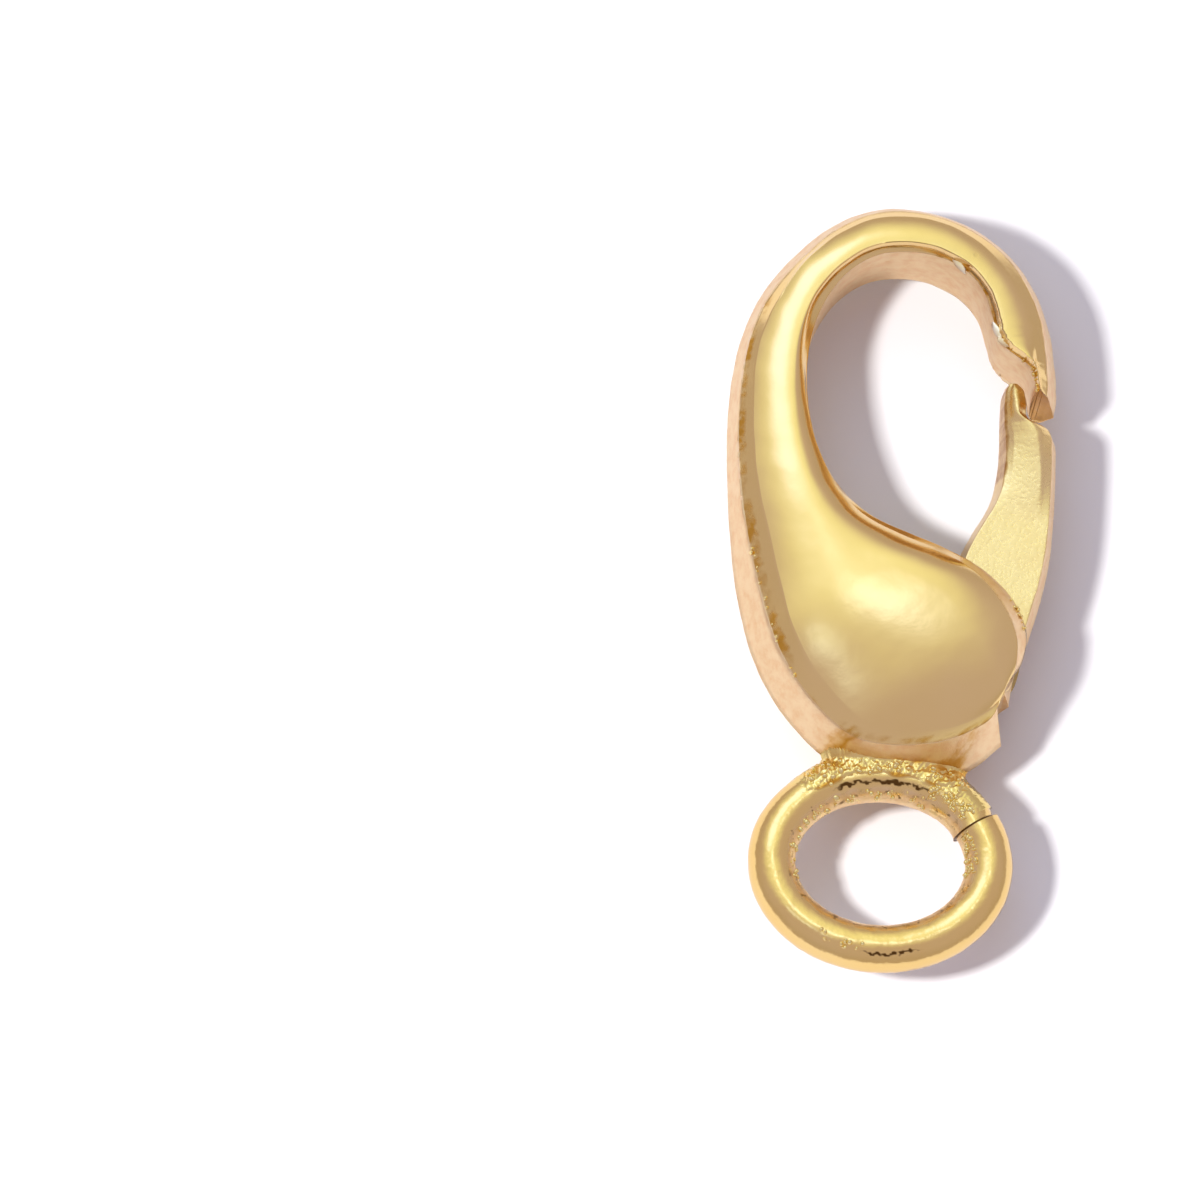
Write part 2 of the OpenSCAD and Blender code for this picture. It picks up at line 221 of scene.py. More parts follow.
def smooth_rows(rows, steps):
    """A table with steps rows between each two, on a smooth curve through all its columns."""
    at = np.linspace(0, len(rows) - 1, (len(rows) - 1) * steps + 1)
    first = np.minimum(at.astype(int), len(rows) - 2)
    t = (at - first)[:, None]
    a, b, c, d = (rows[np.clip(first + k, 0, len(rows) - 1)] for k in (-1, 0, 1, 2))
    return 0.5 * (2 * b + (c - a) * t + (2 * a - 5 * b + 4 * c - d) * t**2
                  + (3 * b - a - 3 * c + d) * t**3)


def places(rows, column):
    """Places of the OUTER or INNER ends of the slices, in millimetres."""
    return np.stack([rows[:, column] * body_w, foot_y + rows[:, column + 1] * body_len], 1)


body_rows, gate_rows = smooth_rows(BODY, BODY_STEPS), smooth_rows(GATE, GATE_STEPS)
print(len(body_rows), "slices in the finished body,", len(gate_rows), "in the gate")

# %% [markdown]
# ## Seeded unevenness
# Nothing on a hand-finished casting is even: an edge is broad here and nearly sharp there. A
# random number for each point would only look noisy, so both helpers add up a few sine waves
# with seeded phases. One gives a line of values and the other gives values in space, and both
# are the same each time the script runs.

# %% Wandering lines and lumps
def wander(count, waves, seed):
    """A smooth random line of count values between about -1 and 1, with that many waves."""
    random = np.random.default_rng(seed)
    at = np.linspace(0, 2 * np.pi, count)
    size = 1 / np.arange(1, 5)
    lines = [s * np.sin(waves * (k + 1) * at + random.uniform(0, 6.3)) for k, s in enumerate(size)]
    return np.sum(lines, 0) / size.sum()


def lumps(p, scale, seed):
    """Smooth noise between -1 and 1 at places p, from waves in seeded directions."""
    random = np.random.default_rng(seed)
    total = np.zeros(p.shape[:-1])
    for k in range(9):
        way = random.normal(size=3)
        way *= 2 * np.pi / (scale * random.uniform(0.7, 1.5) * np.linalg.norm(way))
        total += np.sin(p @ way + random.uniform(0, 6.3))
    return total / 4


print("a wandering line:", wander(5, 2, 1).round(2))

# %% [markdown]
# ## From slices to skin
# A slice is drawn from its outer wall over the face to its inner wall: a leaning wall, a small
# rounding, a bevel, the crown, and the same back down. Each part has a fixed number of points,
# so that the points of one slice can be joined to those of the next.

# %% Walls and roundings
WALL_POINTS, EDGE_POINTS, CROWN_POINTS, BEVEL_POINTS = 6, 4, 38, 6
COLUMNS = 2 * (WALL_POINTS + EDGE_POINTS + BEVEL_POINTS) + CROWN_POINTS
OUTER_BEVEL = WALL_POINTS + EDGE_POINTS  # first column of the outer bevel
INNER_BEVEL = OUTER_BEVEL + BEVEL_POINTS + CROWN_POINTS  # and of the inner one


def wall_part(flat, lean_by, edge):
    """Points up a leaning wall, from the mid-plane to the start of its rounding."""
    k = np.linspace(0, 1, WALL_POINTS)[None, :] * (1 - edge / flat)[:, None]
    return lean_by[:, None] * k, flat * k


def rounding_part(flat, rise, lean_by, edge, width_by, drop):
    """Points on a Bezier curve from a wall to the slope of its bevel."""
    t = np.linspace(0, 1, EDGE_POINTS + 2)[None, 1:-1]
    slope = np.minimum(drop * rise / width_by, 0.9)
    low, edge, lean_by = (1 - edge / flat)[:, None], edge[:, None], lean_by[:, None]
    bend = lambda p, q, r: (1 - t)**2 * p + 2 * t * (1 - t) * q + t**2 * r
    return (bend(lean_by * low, lean_by, lean_by + edge),
            bend(flat * low, flat - slope * edge, flat))


print(COLUMNS, "points in half a slice")

# %% [markdown]
# The polished face is two half crowns that meet at the crest, each with a bevel at its end. Its
# points are spread as the sine is, so they lie closer together towards the crown's ends, where
# it bends most. Evenly spaced, they would have to be many more to keep the streaks smooth.

# %% The polished face
def face_part(flat, rise, half, peak, power, bevels):
    """Points over the face, from one bevel over the crown to the other: across and up."""
    bevel_out = np.clip(bevels[0] / (half * (1 + peak)), 0.01, 0.6)
    bevel_in = np.clip(bevels[2] / (half * (1 - peak)), 0.01, 0.6)
    crown = np.sin(np.linspace(-np.pi / 2, np.pi / 2, CROWN_POINTS))[None, :]
    tip = np.arange(BEVEL_POINTS)[None, :] / BEVEL_POINTS
    inside = crown * (1 - np.where(crown < 0, bevel_out, bevel_in))
    off = np.concatenate([-1 + bevel_out * tip, inside, 1 - bevel_in * tip[:, ::-1]], 1)
    bevel, drop = (np.where(off < 0, a, b) for a, b in ((bevel_out, bevel_in), bevels[1::2]))
    on_crown = np.minimum(np.abs(off) / (1 - bevel), 1)
    beyond = np.maximum(np.abs(off) - (1 - bevel), 0) / bevel
    s = peak + off * np.where(off < 0, 1 + peak, 1 - peak)
    return half * (s + 1), flat + rise * (1 - (1 - drop) * on_crown**power - drop * beyond)


print(CROWN_POINTS + 2 * BEVEL_POINTS, "of the points lie on the face")

# %% [markdown]
# The parts are put one after another. Each point also says if it is cast wall or polished face,
# which the material needs later.

# %% The upper half of each slice
def half_slices(rows, flat, full, lean, edges, face, inner_cast):
    """Upper half of each slice, from the outer wall over the face to the inner wall: places
    across and up, and a mask that is 1 on cast walls and 0 on the polished face."""
    peak, power, *bevels = (column[:, None] for column in face.T)
    width = np.linalg.norm(places(rows, INNER) - places(rows, OUTER), axis=1)
    leans = lean * rows[:, OUT_LEAN], lean * rows[:, IN_LEAN]
    edges = [np.minimum(edge, width / 8) for edge in edges]
    rise = ((full - flat) * rows[:, RISE])[:, None]
    half = (width - sum(leans) - sum(edges))[:, None] / 2
    face_x, face_z = face_part(flat, rise, half, peak, power, bevels)
    parts = [wall_part(flat, leans[0], edges[0]),
             rounding_part(flat, rise, leans[0], edges[0], *bevels[:2]),
             (face_x + (leans[0] + edges[0])[:, None], face_z)]
    for x, z in (rounding_part(flat, rise, leans[1], edges[1], *bevels[2:]),
                 wall_part(flat, leans[1], edges[1])):
        parts.append((width[:, None] - x[:, ::-1], z[:, ::-1]))
    x, z = (np.concatenate([p[k] for p in parts], 1) for k in (0, 1))
    mask = np.concatenate([np.ones(WALL_POINTS), np.linspace(0.9, 0.1, EDGE_POINTS),
                           np.zeros(face_x.shape[1]),
                           inner_cast * np.linspace(0.1, 0.9, EDGE_POINTS),
                           inner_cast * np.ones(WALL_POINTS)])
    return x, z, mask


foot_half = half_slices(BODY[-1:], wall_t / 2, np.array([belly_t / 2]), draft,
                        [np.array([0.05])] * 2, BODY_FACE[-1:], 1.0)
print("the last slice of the foot is", foot_half[0].max().round(2), "mm wide")

# %% [markdown]
# The lower half is the mirror of the upper one. Painted shade and torn edges keep to certain
# columns of points, between certain rows of the table, so a mark is made by naming both: it fades
# at its ends and is patchy in between.

# %% Whole slices and marks along their edges
def all_round(upper):
    """Values for the whole ring of each slice, from those of its upper half."""
    return np.concatenate([upper, upper[:, -2:0:-1]], 1)


def along_edge(at, first, last, columns, waves, seed, patch=0.6):
    """Patchy values from 0 to 1 over those columns, between two rows of the section table."""
    inside = np.clip(np.minimum(at - first, last - at) / 0.5, 0, 1)
    patchy = np.clip(0.7 + patch * wander(len(at), waves, seed), 0, 1)
    across = np.zeros(COLUMNS)
    across[columns[0]:columns[1]] = 1
    across = np.convolve(across, [0.25, 0.5, 0.25], "same")
    return all_round((inside * patchy)[:, None] * across)


def skin(rows, flat, full, lean, edges, face, inner_cast=1.0):
    """Closed rings of points round all slices (slices, points, 3) with their wall mask."""
    x, z, mask = half_slices(rows, flat, full, lean, edges, face, inner_cast)
    x, z = np.concatenate([x, x[:, -2:0:-1]], 1), np.concatenate([z, -z[:, -2:0:-1]], 1)
    mask = all_round(np.tile(mask, (len(rows), 1)))
    outer, along = places(rows, OUTER), places(rows, INNER) - places(rows, OUTER)
    along /= np.linalg.norm(along, axis=1)[:, None]
    ahead = np.stack([along[:, 1], -along[:, 0]], 1)
    push = lean * rows[:, END_LEAN, None] * np.abs(z) / flat
    flat_place = outer[:, None] + along[:, None] * x[..., None] + ahead[:, None] * push[..., None]
    return np.concatenate([flat_place, mid_z + z[..., None]], 2), mask


print(len(all_round(np.zeros((1, COLUMNS)))[0]), "points round a whole slice")

# %% [markdown]
# ## Lofting
# A loft joins each ring of points to the next one. Skinning a curve with Blender's own tools
# would give each slice the same outline, so the mesh is made point by point. The wall mask and
# the marks of painted shade and tarnish are kept on the points as attributes, for the material to
# read.

# %% A mesh with its attributes
def new_piece(name, points, faces):
    """An object with that mesh, from points in millimetres, shaded smooth."""
    mesh = bpy.data.meshes.new(name)
    mesh.from_pydata((np.asarray(points) * MM).tolist(), [], faces)
    mesh.validate()
    mesh.shade_smooth()
    piece = bpy.data.objects.new(name, mesh)
    bpy.context.scene.collection.objects.link(piece)
    return piece


def store(piece, name, values):
    """Keeps one number for each point under that name."""
    layer = piece.data.attributes.new(name, "FLOAT", "POINT")
    layer.data.foreach_set("value", np.asarray(values, np.float32))


def volume(piece):
    """Signed volume in cubic millimetres: it is positive if the faces point outwards."""
    mesh = piece.data
    mesh.calc_loop_triangles()
    corners = np.zeros(len(mesh.loop_triangles) * 3, int)
    mesh.loop_triangles.foreach_get("vertices", corners)
    places_m = np.zeros(len(mesh.vertices) * 3)
    mesh.vertices.foreach_get("co", places_m)
    a, b, c = np.moveaxis(places_m.reshape(-1, 3)[corners.reshape(-1, 3)] / MM, 1, 0)
    return float(np.einsum("ij,ij->i", a, np.cross(b, c)).sum() / 6)


print("a mesh is made in", bpy.context.scene.collection.name)

# %% [markdown]
# The two end faces, such as the hook's tip, get a grid of their own, from the upper edge down to
# the lower one. One big flat face would do for the shape, but it couldn't be rough.

# %% End faces
END_STEPS = 14


def end_grid(ring, base, start, flip):
    """Points and faces that close one ring of points, and its corners' numbers."""
    n = len(ring)
    half = n // 2
    points, faces, corner = [], [], {}
    for j in range(half + 1):
        for m in range(END_STEPS + 1):
            low = (n - j) % n
            if j in (0, half) or m == 0:
                corner[j, m] = base + j
            elif m == END_STEPS:
                corner[j, m] = base + low
            else:
                t = m / END_STEPS
                corner[j, m] = start + len(points)
                points.append(ring[j] * (1 - t) + ring[low] * t)
    for j in range(half):
        for m in range(END_STEPS):
            face = [corner[j, m], corner[j + 1, m], corner[j + 1, m + 1], corner[j, m + 1]]
            face = list(dict.fromkeys(face))
            if len(face) > 2:
                faces.append(face[::-1] if flip else face)
    return points, faces


print("an end face has", END_STEPS, "rows and", (COLUMNS - 2) * (END_STEPS - 1), "points")

# %% [markdown]
# The loft numbers its points slice by slice, so that each face can name its four corners. It
# runs the same way round all slices, and one end grid is flipped, so every face points outwards.

# %% The loft
def loft(name, rings, wall, mark=None, end_painted_shade=(0.0, 0.0)):
    """A closed piece through rings of points, with its wall mask and its marks of painted shade and
    tarnish kept as attributes."""
    count, n = rings.shape[:2]
    points = list(rings.reshape(-1, 3))
    walls = list(np.ravel(wall))
    marks = list(np.zeros(count * n) if mark is None else np.ravel(mark))
    faces = [(i * n + j, (i + 1) * n + j, (i + 1) * n + (j + 1) % n, i * n + (j + 1) % n)
             for i in range(count - 1) for j in range(n)]
    for i, flip, end_mark in ((0, False, end_painted_shade[0]), (count - 1, True, end_painted_shade[1])):
        more, shut = end_grid(rings[i], i * n, len(points), flip)
        points += more
        walls += [1.0] * len(more)
        marks += [end_mark] * len(more)
        faces += shut
    piece = new_piece(name, points, faces)
    store(piece, "wall", walls)
    store(piece, "mark", marks)
    return piece


print("the body will have", len(body_rows) * (2 * COLUMNS - 2), "points round its slices")

# %% [markdown]
# ## The body
# Between wall and face the real edge was broken with a polishing wheel, so it is a small
# rounding whose width wanders. Along the hook's inner edge it is ragged as well, where the flash
# of the casting was torn off and never polished. So the inner edge is broader near the tip of
# the hook, and its width changes within less than a millimetre.

# %% The body's edges and skin
body_steps = len(body_rows)
at = np.linspace(0, len(BODY) - 1, body_steps)  # place of each slice, in rows of the table
TORN_ROW, TORN_REACH = 4.2, 2.6
torn = np.exp(-((at - TORN_ROW) / TORN_REACH)**2)
edge_out = 0.06 * (1 + 0.45 * wander(body_steps, 9, 1))
edge_in = (0.05 * (1 + 0.45 * wander(body_steps, 8, 2))
           + torn * (0.03 + 0.03 * wander(body_steps, 38, 3)))
bulge = (hook_t + (belly_t - hook_t) * body_rows[:, SWELL]) / 2
rings, mask = skin(body_rows, wall_t / 2, bulge, draft, (edge_out, edge_in),
                   smooth_rows(BODY_FACE, BODY_STEPS))
# The belly's rim takes the wall's finish, whose paler colour is partly a painted reflection of the
# floor.
rim = along_edge(at, 21.3, 26.4, (INNER_BEVEL - 1, COLUMNS), 0, 1)
mask = np.maximum(mask, rim / max(rim.max(), 1e-6))
print("rounding", edge_in.min().round(3), "to", edge_in.max().round(3), "mm wide on the inside")

# %% [markdown]
# ## Painted shade on the body
# Amber and brown shade is painted in the creases and edges where the gold would lie in shade: in
# the corner under the left wall's edge, on the hook's torn edge, round the belly's rim, along the
# belly's lower edge and beside the solder. Each line of the list is one such mark. A texture in
# space can't follow an edge, so the marks are made on the points, and a little noise in space
# breaks them up.

# %% The body with its marks
# Each line paints shade along an edge of the body or beside the solder.
PAINTED_EDGE_SHADE = (  # strength, from row to row, from column to column, waves, seed, patchiness
    (1.0, 13.6, 21.8, OUTER_BEVEL - 3, OUTER_BEVEL + 3, 14, 41, 0.4),
    (0.6, 21.4, 24.2, OUTER_BEVEL - 2, OUTER_BEVEL + 1, 37, 42, 0.6),
    (1.0, 23.8, 26.2, OUTER_BEVEL - 1, OUTER_BEVEL + 3, 60, 43, 0.6),
    (1.0, 1.5, 9.5, INNER_BEVEL + 3, INNER_BEVEL + 9, 26, 44, 0.6),
    (0.8, 20.2, 25.8, INNER_BEVEL - 2, INNER_BEVEL, 44, 47, 0.6),
    (0.72, 22.4, 25.2, OUTER_BEVEL, OUTER_BEVEL + 4, 26, 48, 0.5),
    (1.7, 22.45, 23.2, 0, OUTER_BEVEL + 2, 3, 49, 0.1),
    (1.7, 24.4, 25.1, 0, OUTER_BEVEL + 1, 3, 50, 0.1),
)
marks = np.max([strength * along_edge(at, first, last, (low, high), waves, seed, patch)
                for strength, first, last, low, high, waves, seed, patch in PAINTED_EDGE_SHADE], 0)
marks *= np.clip(0.85 + 0.45 * lumps(rings, 0.32, 55), 0, 1.1)
# The hook tip's end face gets full painted shade, for the dark gap that it faces.
body = loft("cast_body", rings, mask, marks, end_painted_shade=(1.0, 0.0))
print(f"cast body: {len(body.data.polygons)} faces, {volume(body):.1f} mm3")

# %% [markdown]
# ## Cutting solids
# The gate's root swings in a slot between two cheeks, and the pin, the knuckle and the spring
# need room there. The pin is tight in the cheeks and loose in the knuckle, and the gate has a
# little air above and below it. Without such gaps the clasp would be one lump of metal.

# %% Sizes of the hinge in millimetres
knuckle_d, pin_d, pin_play, pin_fit = 2.2, 1.1, 0.04, 0.01
side_gap, pocket_gap = 0.08, 0.12
leaf_t, leaf_w, leaf_len, recess_d, leaf_gap = 0.15, 1.6, 2.4, 0.55, 0.05
slot_h = gate_t / 2 + side_gap
pin_share = 0.4  # share of each cheek that the pin is let into
pin_h = slot_h + pin_share * (belly_t / 2 - slot_h)
print(f"the slot is {2 * slot_h:.2f} mm high and the pin {2 * pin_h:.2f} mm long")

# %% [markdown]
# Every cut is drawn in the plane first, as an outline, because all of them are straight from top
# to bottom. An outline can be turned about the pivot and made a little bigger all round.

# %% Outlines
def turned(points, angle):
    """Points in the plane, turned about the pivot."""
    c, s = math.cos(angle), math.sin(angle)
    return (np.asarray(points) - pivot[:2]) @ np.array([[c, s], [-s, c]]) + pivot[:2]


def outset(outline, by):
    """A closed outline with each side moved outwards by that much."""
    p = np.asarray(outline, float)
    area = np.sum(p[:, 0] * np.roll(p[:, 1], -1) - np.roll(p[:, 0], -1) * p[:, 1])
    p = p if area > 0 else p[::-1]
    side = np.roll(p, -1, 0) - p
    side /= np.linalg.norm(side, axis=1)[:, None]
    away = np.stack([side[:, 1], -side[:, 0]], 1)
    before = np.roll(away, 1, 0)
    corner = (away + before) / (1 + np.sum(away * before, 1))[:, None]
    return p + corner * by


def disc(centre, radius, count=64):
    """Outline of a circle."""
    a = np.linspace(0, 2 * np.pi, count, endpoint=False)
    return np.stack([centre[0] + radius * np.cos(a), centre[1] + radius * np.sin(a)], 1)


print("a circle of 64 sides, 1 mm bigger:", np.ptp(outset(disc((0, 0), 1), 1)[:, 0]).round(2), "mm")

# %% [markdown]
# A prism over an outline is the tool for a cut, and the plainest solid for pin and spring. It
# also gets the wall and mark attributes, so that the metal which it leaves is cast skin.

# %% Prisms
def prism(name, outline, half_height, wall=1.0):
    """A straight solid over an outline, as far above the mid-plane as below it."""
    p = outset(outline, 0)
    n = len(p)
    points = [(x, y, mid_z + h) for h in (-half_height, half_height) for x, y in p]
    faces = [(i, (i + 1) % n, n + (i + 1) % n, n + i) for i in range(n)]
    faces += [tuple(range(n))[::-1], tuple(range(n, 2 * n))]
    piece = new_piece(name, points, faces)
    store(piece, "wall", [wall] * len(points))
    store(piece, "mark", [0.0] * len(points))
    return piece


print("prisms stand on both sides of z =", round(float(mid_z), 2), "mm")

# %% [markdown]
# The cuts are made with the Boolean modifier, whose Manifold solver is quick and keeps the wall
# and mark attributes. A modifier is only a plan until the mesh is evaluated.

# %% Settling and combining
def settle(piece):
    """Turns a piece with modifiers into a plain mesh."""
    bpy.context.view_layer.update()
    seen = piece.evaluated_get(bpy.context.evaluated_depsgraph_get())
    mesh = bpy.data.meshes.new_from_object(seen)
    piece.modifiers.clear()
    piece.data = mesh
    return piece


def combine(piece, tool, how):
    """Cuts the tool from the piece (DIFFERENCE) or adds it (UNION), and removes the tool."""
    step = piece.modifiers.new(how, "BOOLEAN")
    step.operation, step.solver, step.object = how, "MANIFOLD", tool
    settle(piece)
    bpy.data.objects.remove(tool)


# %% [markdown]
# ## The pocket
# The slot is the room that the gate's root sweeps: its outline, set at each few degrees of its
# swing and made a little bigger. A mouth opens the slot to the side, a round cut takes the
# knuckle, a recess takes the pressed spring, and the pin gets its bore. A single fan-shaped cut
# would be simpler, but it would take away metal that the real cheeks have.

# %% The pocket is cut
SWING_STEPS = 8
leaf_foot = 0.7  # how far above the pivot the spring's bend lies
root_rows = GATE[:GATE_ROOT]
root = np.concatenate([places(root_rows, OUTER), places(root_rows, INNER)[::-1]])
mouth = np.concatenate([places(root_rows, OUTER),
                        places(root_rows, OUTER)[::-1] + [knuckle_d, 0]])
pocket_x = knuckle_d / 2 + pocket_gap
recess = np.array([[-pocket_x - recess_d, leaf_foot - 2 * leaf_gap],
                   [-pocket_x / 2, leaf_foot - 2 * leaf_gap],
                   [-pocket_x / 2, leaf_foot + leaf_len + 2 * leaf_gap],
                   [-pocket_x - recess_d, leaf_foot + leaf_len + 2 * leaf_gap]]) + pivot[:2]
cuts = [(outset(turned(root, open_angle * k / SWING_STEPS), pocket_gap), slot_h)
        for k in range(SWING_STEPS + 1)]
cuts += [(outset(mouth, pocket_gap), slot_h), (disc(pivot, pocket_x), slot_h),
         (turned(recess, open_angle), leaf_w / 2 + leaf_gap),
         (disc(pivot, pin_d / 2 + pin_fit), pin_h + pin_fit)]
for outline, height in cuts:
    combine(body, prism("cutter", outline, height), "DIFFERENCE")
print(f"with its pocket: {len(body.data.polygons)} faces, {volume(body):.1f} mm3,",
      [a.name for a in body.data.attributes])

# %% [markdown]
# ## The gate
# The gate is lofted as the body is. Its inner wall rubs on whatever is hooked in, so it is
# brighter than the other walls, and brown shade is painted along it and on the outer side near
# the tip. A knuckle is added round the pin, and its bore is cut with some play.

# %% The gate's blade and knuckle
gate_steps = len(gate_rows)
gate_edges = [0.05 * (1 + 0.4 * wander(gate_steps, 7, seed)) for seed in (4, 5)]
gate_top = np.full(gate_steps, gate_t / 2 + gate_crown)
rings, mask = skin(gate_rows, gate_t / 2, gate_top, gate_draft, gate_edges,
                   smooth_rows(GATE_FACE, GATE_STEPS), inner_cast=0.3)
at = np.linspace(0, len(GATE) - 1, gate_steps)
# Painted brown shade along the inner wall, and on the outer side near the tip.
gate_painted_shade = 0.9 * along_edge(at, 7.5, 16, (INNER_BEVEL + 4, COLUMNS), 9, 45, patch=0.15)
gate_painted_shade = np.maximum(gate_painted_shade, 0.7 * along_edge(at, 12, 15.5, (OUTER_BEVEL - 5, OUTER_BEVEL - 1),
                                           20, 46, 0.2))
gate = loft("gate_lever", rings, mask, gate_painted_shade)
combine(gate, prism("knuckle", disc(pivot, knuckle_d / 2), gate_t / 2), "UNION")
combine(gate, prism("bore", disc(pivot, pin_d / 2 + pin_play), gate_t), "DIFFERENCE")
print(f"gate: {len(gate.data.polygons)} faces, {volume(gate):.1f} mm3")

# %% [markdown]
# ## Node trees in a script
# The next pieces follow a path or a surface, which is what Geometry Nodes are for. A tree made
# by clicking can't be read in a script, so these helpers build it: one makes a tree with named
# inputs, and one adds a node, gives it its settings and wires its inputs.

# %% Making a tree and its nodes
SOCKETS = {int: "NodeSocketInt", float: "NodeSocketFloat", tuple: "NodeSocketVector",
           bpy.types.Material: "NodeSocketMaterial"}


def new_tree(name, sizes):
    """A Geometry Nodes tree with one named input for each size."""
    tree = bpy.data.node_groups.new(name, "GeometryNodeTree")
    tree.interface.new_socket("Geometry", in_out="INPUT", socket_type="NodeSocketGeometry")
    for label, kind in sizes.items():
        tree.interface.new_socket(label, in_out="INPUT", socket_type=SOCKETS[kind])
    tree.interface.new_socket("Geometry", in_out="OUTPUT", socket_type="NodeSocketGeometry")
    return tree, tree.nodes.new("NodeGroupInput").outputs


def add(tree, kind, inputs=(), **settings):
    """A node with its settings, wired to the given inputs: sockets are linked, values are set."""
    node = tree.nodes.new(kind)
    for label, value in settings.items():
        setattr(node, label, value)
    for key, value in dict(inputs).items():
        socket = node.inputs[key]
        if isinstance(value, bpy.types.NodeSocket):
            tree.links.new(value, socket)
        else:
            socket.default_value = value
    return node


def maths(tree, operation, *values):
    """Result of a Math node."""
    return add(tree, "ShaderNodeMath", enumerate(values), operation=operation).outputs[0]


def vectors(tree, operation, *values):
    """Result of a Vector Math node: give SCALE its factor as the fourth value."""
    slots = (0, 3) if operation == "SCALE" else (0, 1, 2)
    return add(tree, "ShaderNodeVectorMath", zip(slots, values), operation=operation).outputs[0]


print("a tree's inputs can be", sorted(kind.__name__ for kind in SOCKETS))

# %% [markdown]
# Each tree ends in real geometry with its material, because instances are lost when a mesh is
# exported. A tree is run on a piece as a modifier. Its inputs are set by their identifiers, which
# never change, and not by their names.

# %% Ending a tree and running it
def finish_tree(tree, geometry, material):
    """Ends a tree: real geometry in place of instances, with its material."""
    real = add(tree, "GeometryNodeRealizeInstances", {"Geometry": geometry}).outputs[0]
    dressed = add(tree, "GeometryNodeSetMaterial", {"Geometry": real, "Material": material})
    add(tree, "NodeGroupOutput", {"Geometry": dressed.outputs[0]})


def grow(piece, tree, values):
    """Runs a tree on a piece with these values, and keeps the result as a plain mesh."""
    step = piece.modifiers.new(tree.name, "NODES")
    step.node_group = tree
    for item in tree.interface.items_tree:
        if item.item_type == "SOCKET" and item.in_out == "INPUT" and item.name in values:
            step[item.identifier] = values[item.name]
    return settle(piece)


print("trees so far:", len(bpy.data.node_groups))

# %% [markdown]
# ## Shader groups
# An effect that several finishes share is built once as a node group and placed in each
# material with its own values. The helpers below name what such a group does most: it blends
# two colours or two numbers, spreads noise, and turns noise into a mask with soft ends.

# %% Helpers for shader groups
def new_group(name, sizes, results):
    """A shader group with named inputs (and their values) and named outputs."""
    kinds = {float: "NodeSocketFloat", tuple: "NodeSocketColor"}
    tree = bpy.data.node_groups.new(name, "ShaderNodeTree")
    tree.interface.new_socket("Vector", in_out="INPUT", socket_type="NodeSocketVector")
    for label, value in sizes.items():
        socket = tree.interface.new_socket(label, in_out="INPUT", socket_type=kinds[type(value)])
        socket.default_value = value
    for label, kind in results.items():
        tree.interface.new_socket(label, in_out="OUTPUT", socket_type=kinds[kind])
    return tree, tree.nodes.new("NodeGroupInput").outputs


def blend(tree, share, a, b):
    """Colour that goes from a to b by the share."""
    node = add(tree, "ShaderNodeMix", {0: share, 6: a, 7: b}, data_type="RGBA")
    return node.outputs[2]


def mixed(tree, share, a, b):
    """Number that goes from a to b by the share."""
    return add(tree, "ShaderNodeMix", {0: share, 2: a, 3: b}, data_type="FLOAT").outputs[0]


def texture(tree, vector, scale, detail=2.0, rough=0.5):
    """Noise between 0 and 1 on those coordinates."""
    return add(tree, "ShaderNodeTexNoise", {"Vector": vector, "Scale": scale, "Detail": detail,
                                            "Roughness": rough}).outputs["Fac"]


def ramp(tree, value, low, high):
    """0 below low, 1 above high and smooth in between."""
    return add(tree, "ShaderNodeMapRange", {"Value": value, "From Min": low, "From Max": high},
               interpolation_type="SMOOTHSTEP").outputs[0]


print("shader helpers:", [f.__name__ for f in (new_group, blend, mixed, texture, ramp)])

# %% [markdown]
# ## Gold
# The whole clasp was plated at once, but its faces were polished and its walls were left as
# they came from the mould. So one group makes both. It starts with noise at four sizes, from
# clouds in the plating down to grit, and with rare small pits. A painted texture would stop at
# its pixels; noise on Object coordinates is sharp at any distance and needs no UV map.

# %% The gold group: its inputs and its noise
# The Cast colour is the walls' peach, partly a painted reflection of the pale floor. The dark
# colour of the marks is mostly painted shade, and on the ring also the tarnish of seam and cracks.
gold_group, given = new_group("gold", {
    "Wall": 0.0, "Mark": 0.0, "Polished": (1.0, 0.75, 0.31, 1), "Cast": (1.0, 0.78, 0.44, 1),
    "Stain": (0.62, 0.36, 0.10, 1), "Shade and tarnish": (0.50, 0.23, 0.045, 1),
    "Shine": 0.12, "Dull": 0.36, "Grain": 0.06}, {
    "Color": tuple, "Roughness": float, "Height": float})
CLOUD, PEEL, PITTED, FINE, GRIT = 420.0, 1500.0, 1500.0, 2600.0, 9000.0  # cells in a metre
tree, where, wall = gold_group, given["Vector"], given["Wall"]
broad = texture(tree, where, CLOUD, 3.0)
fine = texture(tree, where, FINE, 4.0, 0.6)
grit = texture(tree, where, GRIT, 3.0, 0.6)
peel = texture(tree, where, PEEL, 1.0)
pit = add(tree, "ShaderNodeTexVoronoi", {"Vector": where, "Scale": PITTED}).outputs["Distance"]
pits = maths(tree, "MULTIPLY", ramp(tree, pit, 0.16, 0.07), ramp(tree, broad, 0.62, 0.74))
print(f"noise from {1 / CLOUD / MM:.2f} down to {1 / GRIT / MM:.2f} mm")

# %% [markdown]
# The colour goes from polished yellow on a face to a dull peach on a wall, by the wall mask; the
# peach is partly a painted reflection of the pale floor that the walls mirror. Pits are stained,
# and the marks on the points become the dark colour of painted shade and tarnish, with noise at
# their borders. Where the metal is marked it is also a little dull.

